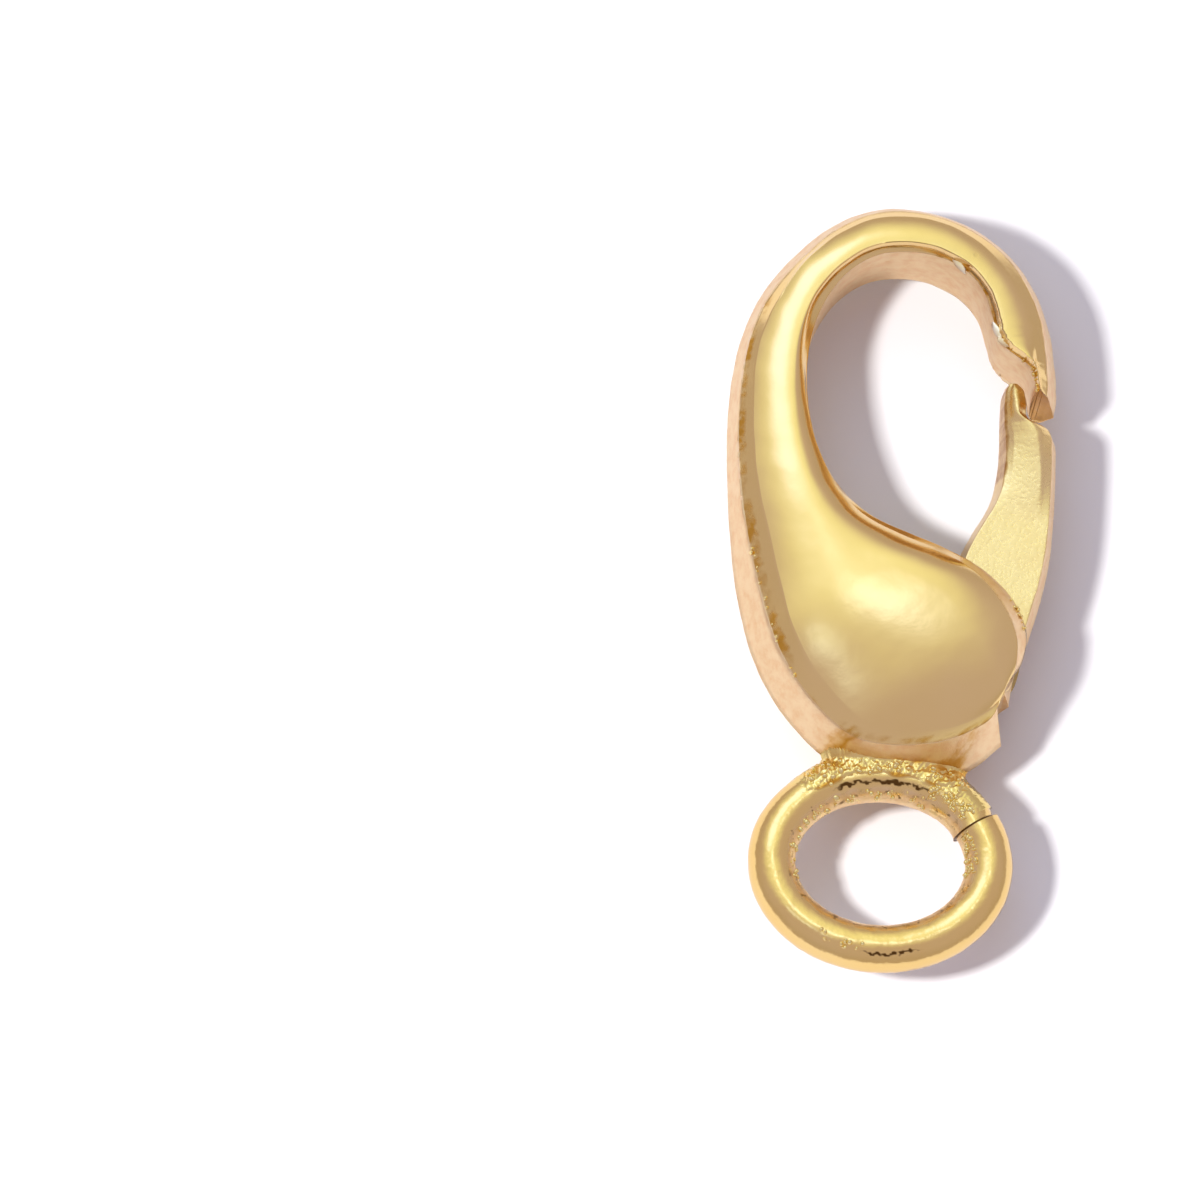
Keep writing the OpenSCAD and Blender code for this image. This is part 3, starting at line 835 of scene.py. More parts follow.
# %% The gold group: colour
# Wall colour: partly a painted reflection of the pale floor.
cast = blend(tree, ramp(tree, fine, 0.35, 0.75), given["Cast"], (0.94, 0.66, 0.34, 1))
face = blend(tree, ramp(tree, broad, 0.3, 0.8), given["Polished"], (0.98, 0.73, 0.28, 1))
colour = blend(tree, wall, face, cast)
colour = blend(tree, maths(tree, "MULTIPLY", pits, 0.7), colour, given["Stain"])
frayed = maths(tree, "MULTIPLY", maths(tree, "SUBTRACT", fine, 0.5), 0.7)
mark = ramp(tree, maths(tree, "ADD", given["Mark"], frayed), 0.22, 0.95)
# Marked points take the dark colour of painted shade, and on the ring also of real tarnish.
colour = blend(tree, mark, colour, given["Shade and tarnish"])
print("colour nodes:", len(tree.nodes))

# %% [markdown]
# Roughness and height follow the same masks, so that colour, gloss and relief agree. A face has
# a faint orange peel and, where asked for, fine grain. A wall has the sandy skin of its mould.

# %% The gold group: roughness and height
MARK_ROUGH = 0.34
shine = mixed(tree, broad, given["Shine"], maths(tree, "ADD", given["Shine"], 0.06))
grain = maths(tree, "MULTIPLY", given["Grain"], maths(tree, "MULTIPLY", grit, 0.25))
shine = maths(tree, "ADD", shine, grain)
dull = mixed(tree, fine, given["Dull"], maths(tree, "ADD", given["Dull"], 0.18))
rough = mixed(tree, mark, mixed(tree, wall, shine, dull), MARK_ROUGH)
grained = maths(tree, "MULTIPLY", maths(tree, "MULTIPLY", grit, given["Grain"]), 0.5)
face_h = maths(tree, "ADD", maths(tree, "MULTIPLY", peel, 0.30), grained)
wall_h = maths(tree, "ADD", fine, maths(tree, "MULTIPLY", grit, 0.5))
height = maths(tree, "SUBTRACT", mixed(tree, wall, face_h, wall_h),
               maths(tree, "MULTIPLY", pits, 1.2))
add(tree, "NodeGroupOutput", {"Color": colour, "Roughness": rough, "Height": height})
print("the gold group has", len(tree.nodes), "nodes")

# %% [markdown]
# Six finishes take the group with their own values. The Principled shader stays in each
# material, with Metallic as a plain number, because it is the same all over the metal.
# The colour of the marks is painted shade: amber on the body, amber in the solder's hollows and
# nearly black on the ring, where it also darkens the seam and its cracks. The gate is grained, the
# flash is bare and pale, and the beads are a bright yellow.

# %% The six gold finishes
def gold_material(name, depth, values):
    """Plated metal from the gold group, with relief of that depth in millimetres."""
    material = bpy.data.materials.new(name)
    material.use_nodes = True
    tree = material.node_tree
    tree.nodes.clear()
    spot = add(tree, "ShaderNodeTexCoord").outputs["Object"]
    gold = add(tree, "ShaderNodeGroup", {}, node_tree=gold_group)
    tree.links.new(spot, gold.inputs["Vector"])
    for kept in ("Wall", "Mark"):
        masked = add(tree, "ShaderNodeAttribute", attribute_name=kept.lower())
        tree.links.new(masked.outputs["Fac"], gold.inputs[kept])
    for label, value in values.items():
        gold.inputs[label].default_value = value
    bump = add(tree, "ShaderNodeBump", {"Height": gold.outputs["Height"], "Distance": depth * MM,
                                        "Strength": 1.0})
    shader = add(tree, "ShaderNodeBsdfPrincipled", {
        "Base Color": gold.outputs["Color"], "Metallic": 1.0,
        "Roughness": gold.outputs["Roughness"], "Normal": bump.outputs["Normal"]})
    add(tree, "ShaderNodeOutputMaterial", {"Surface": shader.outputs[0]})
    return material


# The amber of body and solder is painted shade; the ring's near black is painted dark reflection
# and the tarnish of its seam and cracks.
body_gold = gold_material("body_gold", 0.016, {
    "Grain": 0.14, "Shade and tarnish": (0.68, 0.36, 0.05, 1)})
gate_gold = gold_material("gate_gold", 0.022, {
    "Grain": 1.0, "Shine": 0.14, "Polished": (1.0, 0.79, 0.35, 1)})
ring_gold = gold_material("ring_gold", 0.020, {
    "Grain": 0.35, "Shine": 0.09, "Polished": (0.98, 0.71, 0.25, 1),
    "Shade and tarnish": (0.14, 0.07, 0.015, 1)})
flash_gold = gold_material("flash_gold", 0.006, {
    "Shine": 0.26, "Polished": (1.0, 0.95, 0.80, 1)})
bead_gold = gold_material("bead_gold", 0.010, {"Shine": 0.22, "Polished": (1.0, 0.88, 0.38, 1)})
solder_gold = gold_material("solder_gold", 0.022, {
    "Grain": 0.25, "Shine": 0.06, "Polished": (1.0, 0.80, 0.27, 1),
    "Shade and tarnish": (0.80, 0.42, 0.05, 1)})
print("gold materials:", [m.name for m in bpy.data.materials if m.name.endswith("_gold")])

# %% [markdown]
# ## Cast skin
# A mould leaves its own sand-like skin on the walls, and polishing takes it off the faces. A
# bump alone wouldn't show at the outline, so one tree really pushes each point along its normal
# by noise: far on the walls, hardly at all on the faces. It only pushes inwards, so that no
# piece outgrows its CAD solid.

# %% The cast-skin tree
skin_tree, given = new_tree("cast skin", {
    "Wall depth": float, "Wall grain": float, "Face depth": float, "Face grain": float,
    "Seed": float, "Material": bpy.types.Material})
tree = skin_tree
where = add(tree, "GeometryNodeInputPosition").outputs[0]
normal = add(tree, "GeometryNodeInputNormal").outputs[0]
wall = add(tree, "GeometryNodeInputNamedAttribute", {"Name": "wall"}, data_type="FLOAT").outputs[0]
noises = []
for grain, depth in (("Wall grain", "Wall depth"), ("Face grain", "Face depth")):
    scale = maths(tree, "DIVIDE", 1.0, given[grain])
    noise = add(tree, "ShaderNodeTexNoise", {"Vector": where, "W": given["Seed"], "Scale": scale,
                                             "Detail": 3.0}, noise_dimensions="4D").outputs[0]
    noises.append(maths(tree, "MULTIPLY", noise, given[depth]))
depth = mixed(tree, wall, noises[1], noises[0])
push = vectors(tree, "SCALE", normal, maths(tree, "MULTIPLY", depth, -1.0))
moved = add(tree, "GeometryNodeSetPosition", {"Geometry": given["Geometry"], "Offset": push})
finish_tree(tree, moved.outputs[0], given["Material"])
print("the cast-skin tree has", len(tree.nodes), "nodes")

# %% [markdown]
# Sand in a mould has one size of grain, and a polished face has only long, low waves. So the
# walls get lumps of less than half a millimetre and the faces get waves of one or two.

# %% Skin on the body and the gate
grow(body, skin_tree, {"Wall depth": 0.05 * MM, "Wall grain": 0.45 * MM, "Face depth": 0.03 * MM,
                       "Face grain": 2.2 * MM, "Seed": 1.0, "Material": body_gold})
grow(gate, skin_tree, {"Wall depth": 0.03 * MM, "Wall grain": 0.35 * MM, "Face depth": 0.02 * MM,
                       "Face grain": 1.2 * MM, "Seed": 4.0, "Material": gate_gold})
print("skin on", body.name, "and", gate.name)

# %% [markdown]
# ## Flash
# Where the two halves of the mould met, thin flash stayed on the hook's inner edge. It was
# broken off, and three flat pale stumps are left. Each is a lens with a dented outline, lofted
# from rings like the body, which costs less than sculpting a rock and stays small.

# %% Three stumps of flash
def chip(place, azimuth, tilt, size):
    """A flat lens of flash metal, its long side that way in the plane, its top tilted back."""
    turn = (Matrix.Rotation(math.radians(azimuth), 3, "Z")
            @ Matrix.Rotation(math.radians(tilt), 3, "X"))
    u = np.linspace(0.12, np.pi - 0.12, 15)[:, None]
    v = np.linspace(0, 2 * np.pi, 32, endpoint=False)[None, :]
    ball = np.stack([np.cos(u) + 0 * v, np.sin(u) * np.cos(v), np.sin(u) * np.sin(v)], -1)
    ball[..., 2] = np.sign(ball[..., 2]) * np.abs(ball[..., 2])**0.35
    ball[..., :2] *= 1 + 0.12 * lumps(ball, 1.1, 60 + int(azimuth) % 30)[..., None]
    rings = (ball * size) @ np.array(turn).T + place
    return loft("chip", rings, np.zeros(rings.shape[:2]))


STUMPS = (  # row of the body's table, azimuth, half sizes in millimetres
    (8.35, -52, (0.42, 0.12, 0.07)), (5.3, -62, (0.34, 0.12, 0.07)),
    (4.35, -35, (0.24, 0.11, 0.07)))
TILT = 14  # degrees
lenses = []
for row, azimuth, size in STUMPS:
    edge_x, edge_y = places(body_rows[[int(row * BODY_STEPS)]], INNER)[0]
    spot = (edge_x + 0.07, edge_y + 0.07, mid_z + wall_t / 2 + 0.02)
    lenses.append(chip(spot, azimuth, TILT, size))
chips = lenses[0]
for lens in lenses[1:]:
    combine(chips, lens, "UNION")
grow(chips, skin_tree, {"Wall depth": 0.0, "Wall grain": 0.3 * MM, "Face depth": 0.02 * MM,
                        "Face grain": 0.3 * MM, "Seed": 9.0, "Material": flash_gold})
print(f"flash: {len(chips.data.polygons)} faces in {len(STUMPS)} stumps")

# %% [markdown]
# ## The ring
# A jump ring is a piece of round wire bent to an oval, and its two ends meet in a seam. It
# follows a path, so a tree scales a circle to the oval and sweeps the wire round it. A torus
# would be quicker, but it can't be oval with an even wire. At the seam the wire gets a narrow
# groove: its radius dips within a small share of the way round.

# %% The ring's tree
ring_tree, given = new_tree("wire ring", {
    "Half width": float, "Half length": float, "Wire": float, "Seam": float, "Groove": float,
    "Groove depth": float, "Centre": tuple, "Material": bpy.types.Material})
tree = ring_tree
circle = add(tree, "GeometryNodeCurvePrimitiveCircle", {"Resolution": 900, "Radius": 1.0})
along = add(tree, "GeometryNodeSplineParameter").outputs["Factor"]
past = maths(tree, "SUBTRACT", maths(tree, "FRACT", maths(
    tree, "ADD", maths(tree, "SUBTRACT", along, given["Seam"]), 1.5)), 0.5)
near = maths(tree, "EXPONENT", maths(tree, "MULTIPLY", maths(
    tree, "POWER", maths(tree, "DIVIDE", past, given["Groove"]), 2.0), -1.0))
thick = maths(tree, "SUBTRACT", 1.0, maths(tree, "MULTIPLY", near, given["Groove depth"]))
spot = add(tree, "GeometryNodeInputPosition").outputs[0]
oval = vectors(tree, "MULTIPLY", spot, add(tree, "ShaderNodeCombineXYZ", {
    "X": given["Half width"], "Y": given["Half length"], "Z": 1.0}).outputs[0])
path = add(tree, "GeometryNodeSetPosition", {"Geometry": circle.outputs[0], "Position": oval})
path = add(tree, "GeometryNodeSetCurveRadius", {"Curve": path.outputs[0], "Radius": thick})
wire = add(tree, "GeometryNodeCurvePrimitiveCircle", {"Resolution": 88, "Radius": given["Wire"]})
tube = add(tree, "GeometryNodeCurveToMesh", {"Curve": path.outputs[0],
                                             "Profile Curve": wire.outputs[0]})
tube = add(tree, "GeometryNodeSetShadeSmooth", {"Geometry": tube.outputs[0]})
placed = add(tree, "GeometryNodeTransform", {"Geometry": tube.outputs[0],
                                             "Translation": given["Centre"]})
finish_tree(tree, placed.outputs[0], given["Material"])
print("the ring's tree has", len(tree.nodes), "nodes")

# %% [markdown]
# Marks on the ring and the solder on it are placed by where a point lies on the wire: how far
# round the oval, and at which side of the wire. Newton's rule finds the nearest point of the
# oval's centre line in a few steps, and it is good near the ring, where it is used.

# %% Places on the ring
SEAM = 27 / 360  # share of the way round
half_x, half_y = (ring_w - wire_d) / 2, (ring_len - wire_d) / 2


def ring_place(p):
    """For places p: the angle round the oval, how far outside its centre line they lie, and
    how far above it, in millimetres."""
    local = p - ring_centre
    a = np.arctan2(local[..., 1] / half_y, local[..., 0] / half_x)
    for _ in range(3):
        c, s = np.cos(a), np.sin(a)
        gap = (local[..., 0] - half_x * c) * -half_x * s + (local[..., 1] - half_y * s) * half_y * c
        a = a + gap / (half_x**2 * s**2 + half_y**2 * c**2)
    away = np.stack([half_y * np.cos(a), half_x * np.sin(a)], -1)
    away /= np.linalg.norm(away, axis=-1, keepdims=True)
    outward = ((local[..., 0] - half_x * np.cos(a)) * away[..., 0]
               + (local[..., 1] - half_y * np.sin(a)) * away[..., 1])
    return np.degrees(a) % 360, outward, local[..., 2]


def ring_distance(p):
    """Distance to the wire of the oval ring, negative inside it."""
    _, outward, height = ring_place(p)
    return np.hypot(outward, height) - wire_d / 2


def window(value, low, high, soft):
    """1 between two values and 0 outside, with soft ends."""
    return np.clip(np.minimum(value - low, high - value) / soft + 0.5, 0, 1)


print("from the eye's middle to the wire:", ring_distance(ring_centre[None]).round(2), "mm")

# %% [markdown]
# The wire's two ends miss each other a little, because it was cut and closed with pliers. A
# path with a jump in it would twist the tube, so the tube is made first and its points next to
# the seam are then drawn inwards.

# %% The ring and its seam
SEAM_STEP, SEAM_FADE = 0.13, 6  # millimetres, and degrees
ring = new_piece("soldered_ring", [(0, 0, 0)], [])
grow(ring, ring_tree, {
    "Half width": half_x * MM, "Half length": half_y * MM, "Wire": wire_d / 2 * MM,
    "Seam": SEAM, "Groove": 0.0020, "Groove depth": 0.22, "Centre": tuple(ring_centre * MM),
    "Material": ring_gold})
flat_ring = np.array([v.co for v in ring.data.vertices]) / MM
angle, outward, height = ring_place(flat_ring)
past_seam = angle - 360 * SEAM
inwards = np.where((past_seam > 0) & (past_seam < 90),
                   SEAM_STEP * np.exp(-past_seam / SEAM_FADE), 0)
flat_ring[:, :2] += inwards[:, None] * (ring_centre - flat_ring)[:, :2] / 3
ring.data.vertices.foreach_set("co", (flat_ring * MM).ravel())
print("wire ends", inwards.max().round(3), "mm apart at the seam")

# %% [markdown]
# No wheel fits into the eye, so the wire is rough and pale on its inner side and underneath; the
# paler colour underneath is partly a painted reflection of the floor. Dark reflections are painted
# in a ragged streak above and below the eye and along the lower outer side, and dark tarnish sits
# in fine cracks and in the seam itself.

# %% The ring's rough sides, painted dark reflections and tarnish
RING_PAINTED_DARK_REFLECTIONS = (  # strength; round the ring from, to and soft; jag; round the wire from, to and soft
    (1.2, 60, 118, 16, 0.6, 108, 116, 5),
    (1.2, 260, 288, 10, 0.6, 60, 66, 4),
    (0.62, 275, 352, 12, 0.4, -6, 0, 3))
around = np.degrees(np.arctan2(height, outward))
patches = lumps(flat_ring, 0.5, 51)
inner_rough = window(np.abs(around), 128, 190, 16) * (0.75 + 0.5 * patches)
# Underneath, the pale colour is partly a painted reflection of the floor.
under_rough = window(around, -100, -8, 16) * (0.45 + 0.5 * patches)
store(ring, "wall", np.clip(np.maximum(inner_rough, under_rough), 0, 0.8))
jagged = 7 * lumps(flat_ring, 0.35, 53) + 4 * lumps(flat_ring, 0.16, 54)
# Painted dark reflections: a ragged streak above and below the eye, and a line along the lower
# outer side.
dark_reflection_streaks = [strength * window(angle, first, last, soft)
           * window(around + jag * jagged, low, high, narrow)
           for strength, first, last, soft, jag, low, high, narrow in RING_PAINTED_DARK_REFLECTIONS]
cracks = 0.5 * window(around + 2 * jagged, 138, 150, 6) * (0.8 + 0.6 * lumps(flat_ring, 0.3, 52))
at_seam = 1.1 * np.exp(-(past_seam / 0.5)**2)
store(ring, "mark", np.clip(np.max([*dark_reflection_streaks, cracks, at_seam], 0), 0, 1))
grow(ring, skin_tree, {"Wall depth": 0.07 * MM, "Wall grain": 0.30 * MM, "Face depth": 0.06 * MM,
                       "Face grain": 0.9 * MM, "Seed": 7.0, "Material": ring_gold})
print(f"ring: {len(ring.data.polygons)} faces, {volume(ring):.2f} mm3,",
      "size", [round(d / MM, 2) for d in ring.dimensions])

# %% [markdown]
# ## The solder
# Molten solder creeps into the corner between two pieces and leaves a hollow, lumpy fillet.
# Metaballs would round off both pieces, and a bevel can't be lumpy. The solder's surface is
# where a smooth minimum of two distances is zero: the one to the ring and the one to the foot.
# The first is known already, and the second comes from the outline of the foot.

# %% Distance to the foot
solder_reach, solder_sink, solder_lump, coat_t = 0.50, 0.05, 0.07, 0.07
foot_part = slice(-6 * BODY_STEPS, None)  # the last rows of the table run along the foot
foot_line = places(body_rows, OUTER)[foot_part]
foot_lean = (draft * body_rows[:, OUT_LEAN] / (wall_t / 2))[foot_part]


def foot_distance(p):
    """Distance to the sloping walls of the foot, negative inside them."""
    line = np.interp(p[..., 0], foot_line[:, 0], foot_line[:, 1])
    slope = np.gradient(foot_line[:, 1], foot_line[:, 0])
    tilt = np.interp(p[..., 0], foot_line[:, 0], slope)
    lean = np.interp(p[..., 0], foot_line[:, 0], foot_lean)
    return (line + lean * np.abs(p[..., 2] - mid_z) - p[..., 1]) / np.sqrt(1 + lean**2 + tilt**2)


print("the foot is", len(foot_line), "slices long")

# %% [markdown]
# Rays leave the middle of the wire at right angles and go on until the surface ends, which
# wraps a closed sleeve round the top of the ring. A thin coat of solder has also run over the
# upper side of the wire, so there the distance to the ring is cut by the coat's thickness.

# %% The solder sleeve
SOLDER_FROM, SOLDER_TO = 31, 142  # degrees round the ring
RAY_STEP, RAY_PAST = 0.01, 0.6  # millimetres, and how far past the wire a ray may go
theta = np.radians(np.linspace(SOLDER_FROM, SOLDER_TO, 260))[:, None]
taper = np.clip(np.minimum(theta - theta[0], theta[-1] - theta) / 0.35, 0.02, 1)
phi = np.linspace(0, 2 * np.pi, 110, endpoint=False)[None, :]
axis_x, axis_y = half_x * np.cos(theta), half_y * np.sin(theta)
out = np.stack([half_y * np.cos(theta), half_x * np.sin(theta)], -1)
out /= np.linalg.norm(out, axis=-1, keepdims=True)
ray = np.stack([np.cos(phi) * out[..., 0], np.cos(phi) * out[..., 1],
                np.sin(phi) + 0 * theta], -1)
axis_place = np.stack([axis_x + 0 * phi, axis_y + 0 * phi, 0 * theta + 0 * phi], -1) + ring_centre
around = np.degrees(np.abs((phi + np.pi) % (2 * np.pi) - np.pi)) + 0 * theta
coated = window(around + 9 * lumps(axis_place + ray, 0.8, 13), -30, 96, 14) * taper
reach = np.full(ray.shape[:2], wire_d / 2 - solder_sink)
open_way = np.ones(ray.shape[:2], bool)
reach_here = solder_reach * taper
for step in np.arange(wire_d / 2 - solder_sink, wire_d / 2 + RAY_PAST, RAY_STEP):
    p = axis_place + ray * step
    rough_by = solder_lump * (lumps(p, 0.32, 11) * 0.5 + lumps(p, 0.15, 12) * 0.5)
    to_ring = ring_distance(p) + solder_sink - coated * (coat_t + rough_by)
    to_foot = foot_distance(p) + solder_sink
    blend_by = np.clip(0.5 + 0.5 * (to_foot - to_ring) / reach_here, 0, 1)
    smooth_min = (to_foot * (1 - blend_by) + to_ring * blend_by
                  - reach_here * blend_by * (1 - blend_by))
    open_way &= smooth_min + 0.3 * rough_by < 0
    reach[open_way] = step
sleeve = axis_place + ray * reach[..., None]
sleeve[[0, -1]] = axis_place[[0, -1]] + ray[[0, -1]] * wire_d / 4  # the ends hide in the wire
print("solder up to", (reach.max() - wire_d / 2).round(2), "mm above the wire")

# %% [markdown]
# Amber shade is painted in the hollow of the corner and along the border of the coat, and a
# little more on the foot beside the ring. The solder keeps such marks on its own points, and the
# foot's are added to the marks that the body has already.

# %% The solder and its painted amber shade
# Painted amber shade in the corner and under the coat's border.
in_corner = window(foot_distance(sleeve), -1, 0.16, 0.12)
solder_painted_shade = 0.62 * in_corner * (0.7 + 0.6 * lumps(sleeve, 0.6, 14))
solder_painted_shade = np.maximum(solder_painted_shade, 0.9 * window(around, 88, 104, 8) * coated.clip(0.2, 1))
solder = loft("solder", sleeve, np.zeros(sleeve.shape[:2]), solder_painted_shade)
solder.data.materials.append(solder_gold)
flat_body = np.array([v.co for v in body.data.vertices]) / MM
near_ring = ring_distance(flat_body) + 0.25 * lumps(flat_body, 0.9, 15)
# Painted amber shade on the foot beside the ring.
foot_painted_shade = 0.75 * window(near_ring, -1, 0.42, 0.25) * (flat_body[:, 1] < foot_y + 2)
foot_painted_shade *= window(np.abs(flat_body[:, 0] + 0.3), 0.9, 3, 0.5)
kept = np.zeros(len(flat_body), np.float32)
body.data.attributes["mark"].data.foreach_get("value", kept)
body.data.attributes["mark"].data.foreach_set("value", np.maximum(kept, foot_painted_shade).astype(np.float32))
print(f"solder: {len(solder.data.polygons)} faces, {volume(solder):.2f} mm3")

# %% [markdown]
# ## Beads
# Where polishing can't reach, small drops of metal stay on the casting: in the corner under the
# left wall's edge, where the gate leaves the cheeks, along the hook's torn edge and most of all
# on the solder and beside it. The tree sets a small ball on each point of a guide and gives it a
# random size, squeeze and turn, so that no two look alike and each has only a few faces.

# %% The beads' tree
bead_tree, given = new_tree("beads", {"Smallest": float, "Largest": float, "Seed": int,
                                      "Material": bpy.types.Material})
tree = bead_tree
ball = add(tree, "GeometryNodeMeshIcoSphere", {"Radius": 1.0, "Subdivisions": 2})
ball = add(tree, "GeometryNodeSetShadeSmooth", {"Geometry": ball.outputs[0]})
size = add(tree, "FunctionNodeRandomValue", {2: given["Smallest"], 3: given["Largest"],
                                             "Seed": given["Seed"]}, data_type="FLOAT").outputs[1]
squeeze = add(tree, "FunctionNodeRandomValue", {0: (0.7, 0.7, 0.5), 1: (1.3, 1.3, 1.0),
                                                "Seed": given["Seed"]}, data_type="FLOAT_VECTOR")
turn = add(tree, "FunctionNodeRandomValue", {0: (0.0, 0.0, 0.0), 1: (6.28, 6.28, 6.28),
                                             "Seed": given["Seed"]}, data_type="FLOAT_VECTOR")
spread = add(tree, "GeometryNodeInstanceOnPoints", {
    "Points": given["Geometry"], "Instance": ball.outputs[0],
    "Rotation": turn.outputs[0],
    "Scale": vectors(tree, "SCALE", squeeze.outputs[0], size)})
finish_tree(tree, spread.outputs[0], given["Material"])
print("the beads' tree has", len(tree.nodes), "nodes")

# %% [markdown]
# The guides are loose points. Those on the casting lie in the edge between wall and face, and
# they are found from the same tables as the body, so that they can't float beside it.

# %% Beads along the body's edges
def edge_places(first, last, inner, count, seed):
    """Random places along the body's upper edge between wall and face, from one row of its
    table to another, on the outer or the inner side."""
    random = np.random.default_rng(seed)
    found = []
    for row in body_rows[(random.uniform(first, last, count) * BODY_STEPS).astype(int)]:
        a, b = places(row[None], OUTER)[0], places(row[None], INNER)[0]
        across = (b - a) / np.linalg.norm(b - a)
        lean = draft * row[IN_LEAN if inner else OUT_LEAN] + random.uniform(-0.02, 0.10)
        x, y = (b - across * lean) if inner else (a + across * lean)
        found.append((x, y, mid_z + wall_t / 2 - random.uniform(0.0, 0.05)))
    return found


drops = edge_places(19.4, 21.7, False, 16, 31)  # under the left wall's edge
drops += edge_places(22.9, 23.9, True, 14, 32)  # beside the gate
drops += edge_places(0.3, 4.2, True, 16, 33)  # on the hook's torn edge
beads = new_piece("casting_beads", drops, [])
grow(beads, bead_tree, {"Smallest": 0.03 * MM, "Largest": 0.075 * MM, "Seed": 5,
                        "Material": bead_gold})
print(len(drops), "beads on the casting")

# %% [markdown]
# The solder glitters because grains sit on its upper side. They are picked from the points of
# its sleeve, and more are strewn over four patches of the ring where solder splashed, each with
# its middle just inside the wire, so that only a cap shows.

# %% Grains on the solder and the ring
SPLASHES = (  # degrees round the ring from and to, degrees round the wire from and to, count
    (236, 262, 60, 85, 16), (-14, 26, 125, 165, 60), (60, 200, 130, 165, 60),
    (33, 62, 85, 125, 80))
GRAIN_SINK = 0.03
random = np.random.default_rng(21)
picked = random.choice(sleeve.shape[0] * sleeve.shape[1], 3600, replace=False)
on_solder = sleeve.reshape(-1, 3)[picked]
angle, outward, height = ring_place(on_solder)
around = np.degrees(np.arctan2(height, outward))
shown = ((ring_distance(on_solder) > 0.01) & (foot_distance(on_solder) > 0.12)
         & (random.uniform(0, 1, len(picked)) < 0.4 * window(around, 30, 98, 30)))
grains = list(on_solder[shown])
for first, last, low, high, count in SPLASHES:
    a, b = np.radians(random.uniform((first, low), (last, high), (count, 2))).T
    away = np.stack([half_y * np.cos(a), half_x * np.sin(a)], 1)
    away *= np.cos(b)[:, None] / np.linalg.norm(away, axis=1)[:, None]
    centre = np.stack([half_x * np.cos(a), half_y * np.sin(a), 0 * a], 1) + ring_centre
    on_wire = np.stack([away[:, 0], away[:, 1], np.sin(b)], 1) * (wire_d / 2 - GRAIN_SINK)
    grains += list(centre + on_wire)
grit_beads = new_piece("solder_grains", grains, [])
grow(grit_beads, bead_tree, {"Smallest": 0.02 * MM, "Largest": 0.105 * MM, "Seed": 6,
                             "Material": bead_gold})
print(len(grains), "grains on the solder and the ring")

# %% [markdown]
# ## Steel
# Pin and spring are drawn steel, which has fine streaks along the way that it was drawn. Noise
# that is squeezed along one axis gives such streaks, and a second group puts them out.

# %% The steel group
steel_group, given = new_group("drawn steel", {
    "Bright": (0.62, 0.60, 0.56, 1), "Dark": (0.40, 0.39, 0.38, 1), "Shine": 0.28}, {
    "Color": tuple, "Roughness": float, "Height": float})
STREAK, STEEL_CLOUD, LONG_WAY = 6000.0, 900.0, (1.0, 1.0, 0.06)  # cells in a metre, squeeze
long_way = add(steel_group, "ShaderNodeMapping", {"Vector": given["Vector"],
                                                  "Scale": LONG_WAY}).outputs[0]
streak = texture(steel_group, long_way, STREAK, 3.0, 0.6)
cloud = texture(steel_group, given["Vector"], STEEL_CLOUD, 2.0)
add(steel_group, "NodeGroupOutput", {
    "Color": blend(steel_group, ramp(steel_group, streak, 0.3, 0.8),
                   given["Bright"], given["Dark"]),
    "Roughness": maths(steel_group, "ADD", given["Shine"],
                       maths(steel_group, "MULTIPLY", cloud, 0.2)),
    "Height": streak})
print("the steel group has", len(steel_group.nodes), "nodes")

# %% [markdown]
# The pin is bare wire. The spring was heated until it turned blue, which leaves a thin dark
# oxide, so it takes the same group with darker and bluer colours.

# %% The two steel finishes
def steel_material(name, values):
    """Bare steel from the drawn-steel group."""
    material = bpy.data.materials.new(name)
    material.use_nodes = True
    tree = material.node_tree
    tree.nodes.clear()
    steel = add(tree, "ShaderNodeGroup", {}, node_tree=steel_group)
    tree.links.new(add(tree, "ShaderNodeTexCoord").outputs["Object"], steel.inputs["Vector"])
    for label, value in values.items():
        steel.inputs[label].default_value = value
    bump = add(tree, "ShaderNodeBump", {"Height": steel.outputs["Height"], "Distance": 0.003 * MM})
    shader = add(tree, "ShaderNodeBsdfPrincipled", {
        "Base Color": steel.outputs["Color"], "Metallic": 1.0,
        "Roughness": steel.outputs["Roughness"], "Normal": bump.outputs["Normal"]})
    add(tree, "ShaderNodeOutputMaterial", {"Surface": shader.outputs[0]})
    return material


wire_steel = steel_material("wire_steel", {})
blued_steel = steel_material("blued_steel", {"Bright": (0.30, 0.33, 0.42, 1),
                                             "Dark": (0.16, 0.17, 0.24, 1), "Shine": 0.3})
print("steel materials:", wire_steel.name, blued_steel.name)

# %% [markdown]
# ## The pin
# The pin is hidden in the cheeks: a plain piece of drawn wire, whose ends were broken with a
# file. A prism gives the wire, and the Bevel modifier the small chamfer at its sharp edges only.

# %% The pin
pin = prism("hinge_pin", disc(pivot, pin_d / 2, 96), pin_h, wall=0.0)
chamfer = pin.modifiers.new("chamfer", "BEVEL")
chamfer.width, chamfer.segments, chamfer.limit_method = 0.06 * MM, 2, "ANGLE"
settle(pin)
pin.data.materials.append(wire_steel)
print(f"pin: {len(pin.data.polygons)} faces, {volume(pin):.2f} mm3")

# %% [markdown]
# ## The spring
# The spring is a strip of blued steel, bent to a narrow V. One leg lies along the wall of the
# recess and the other presses on the knuckle. A strip of even thickness follows a path in the
# plane, so its outline is drawn on both sides of the path and made a prism as high as the strip
# is wide.

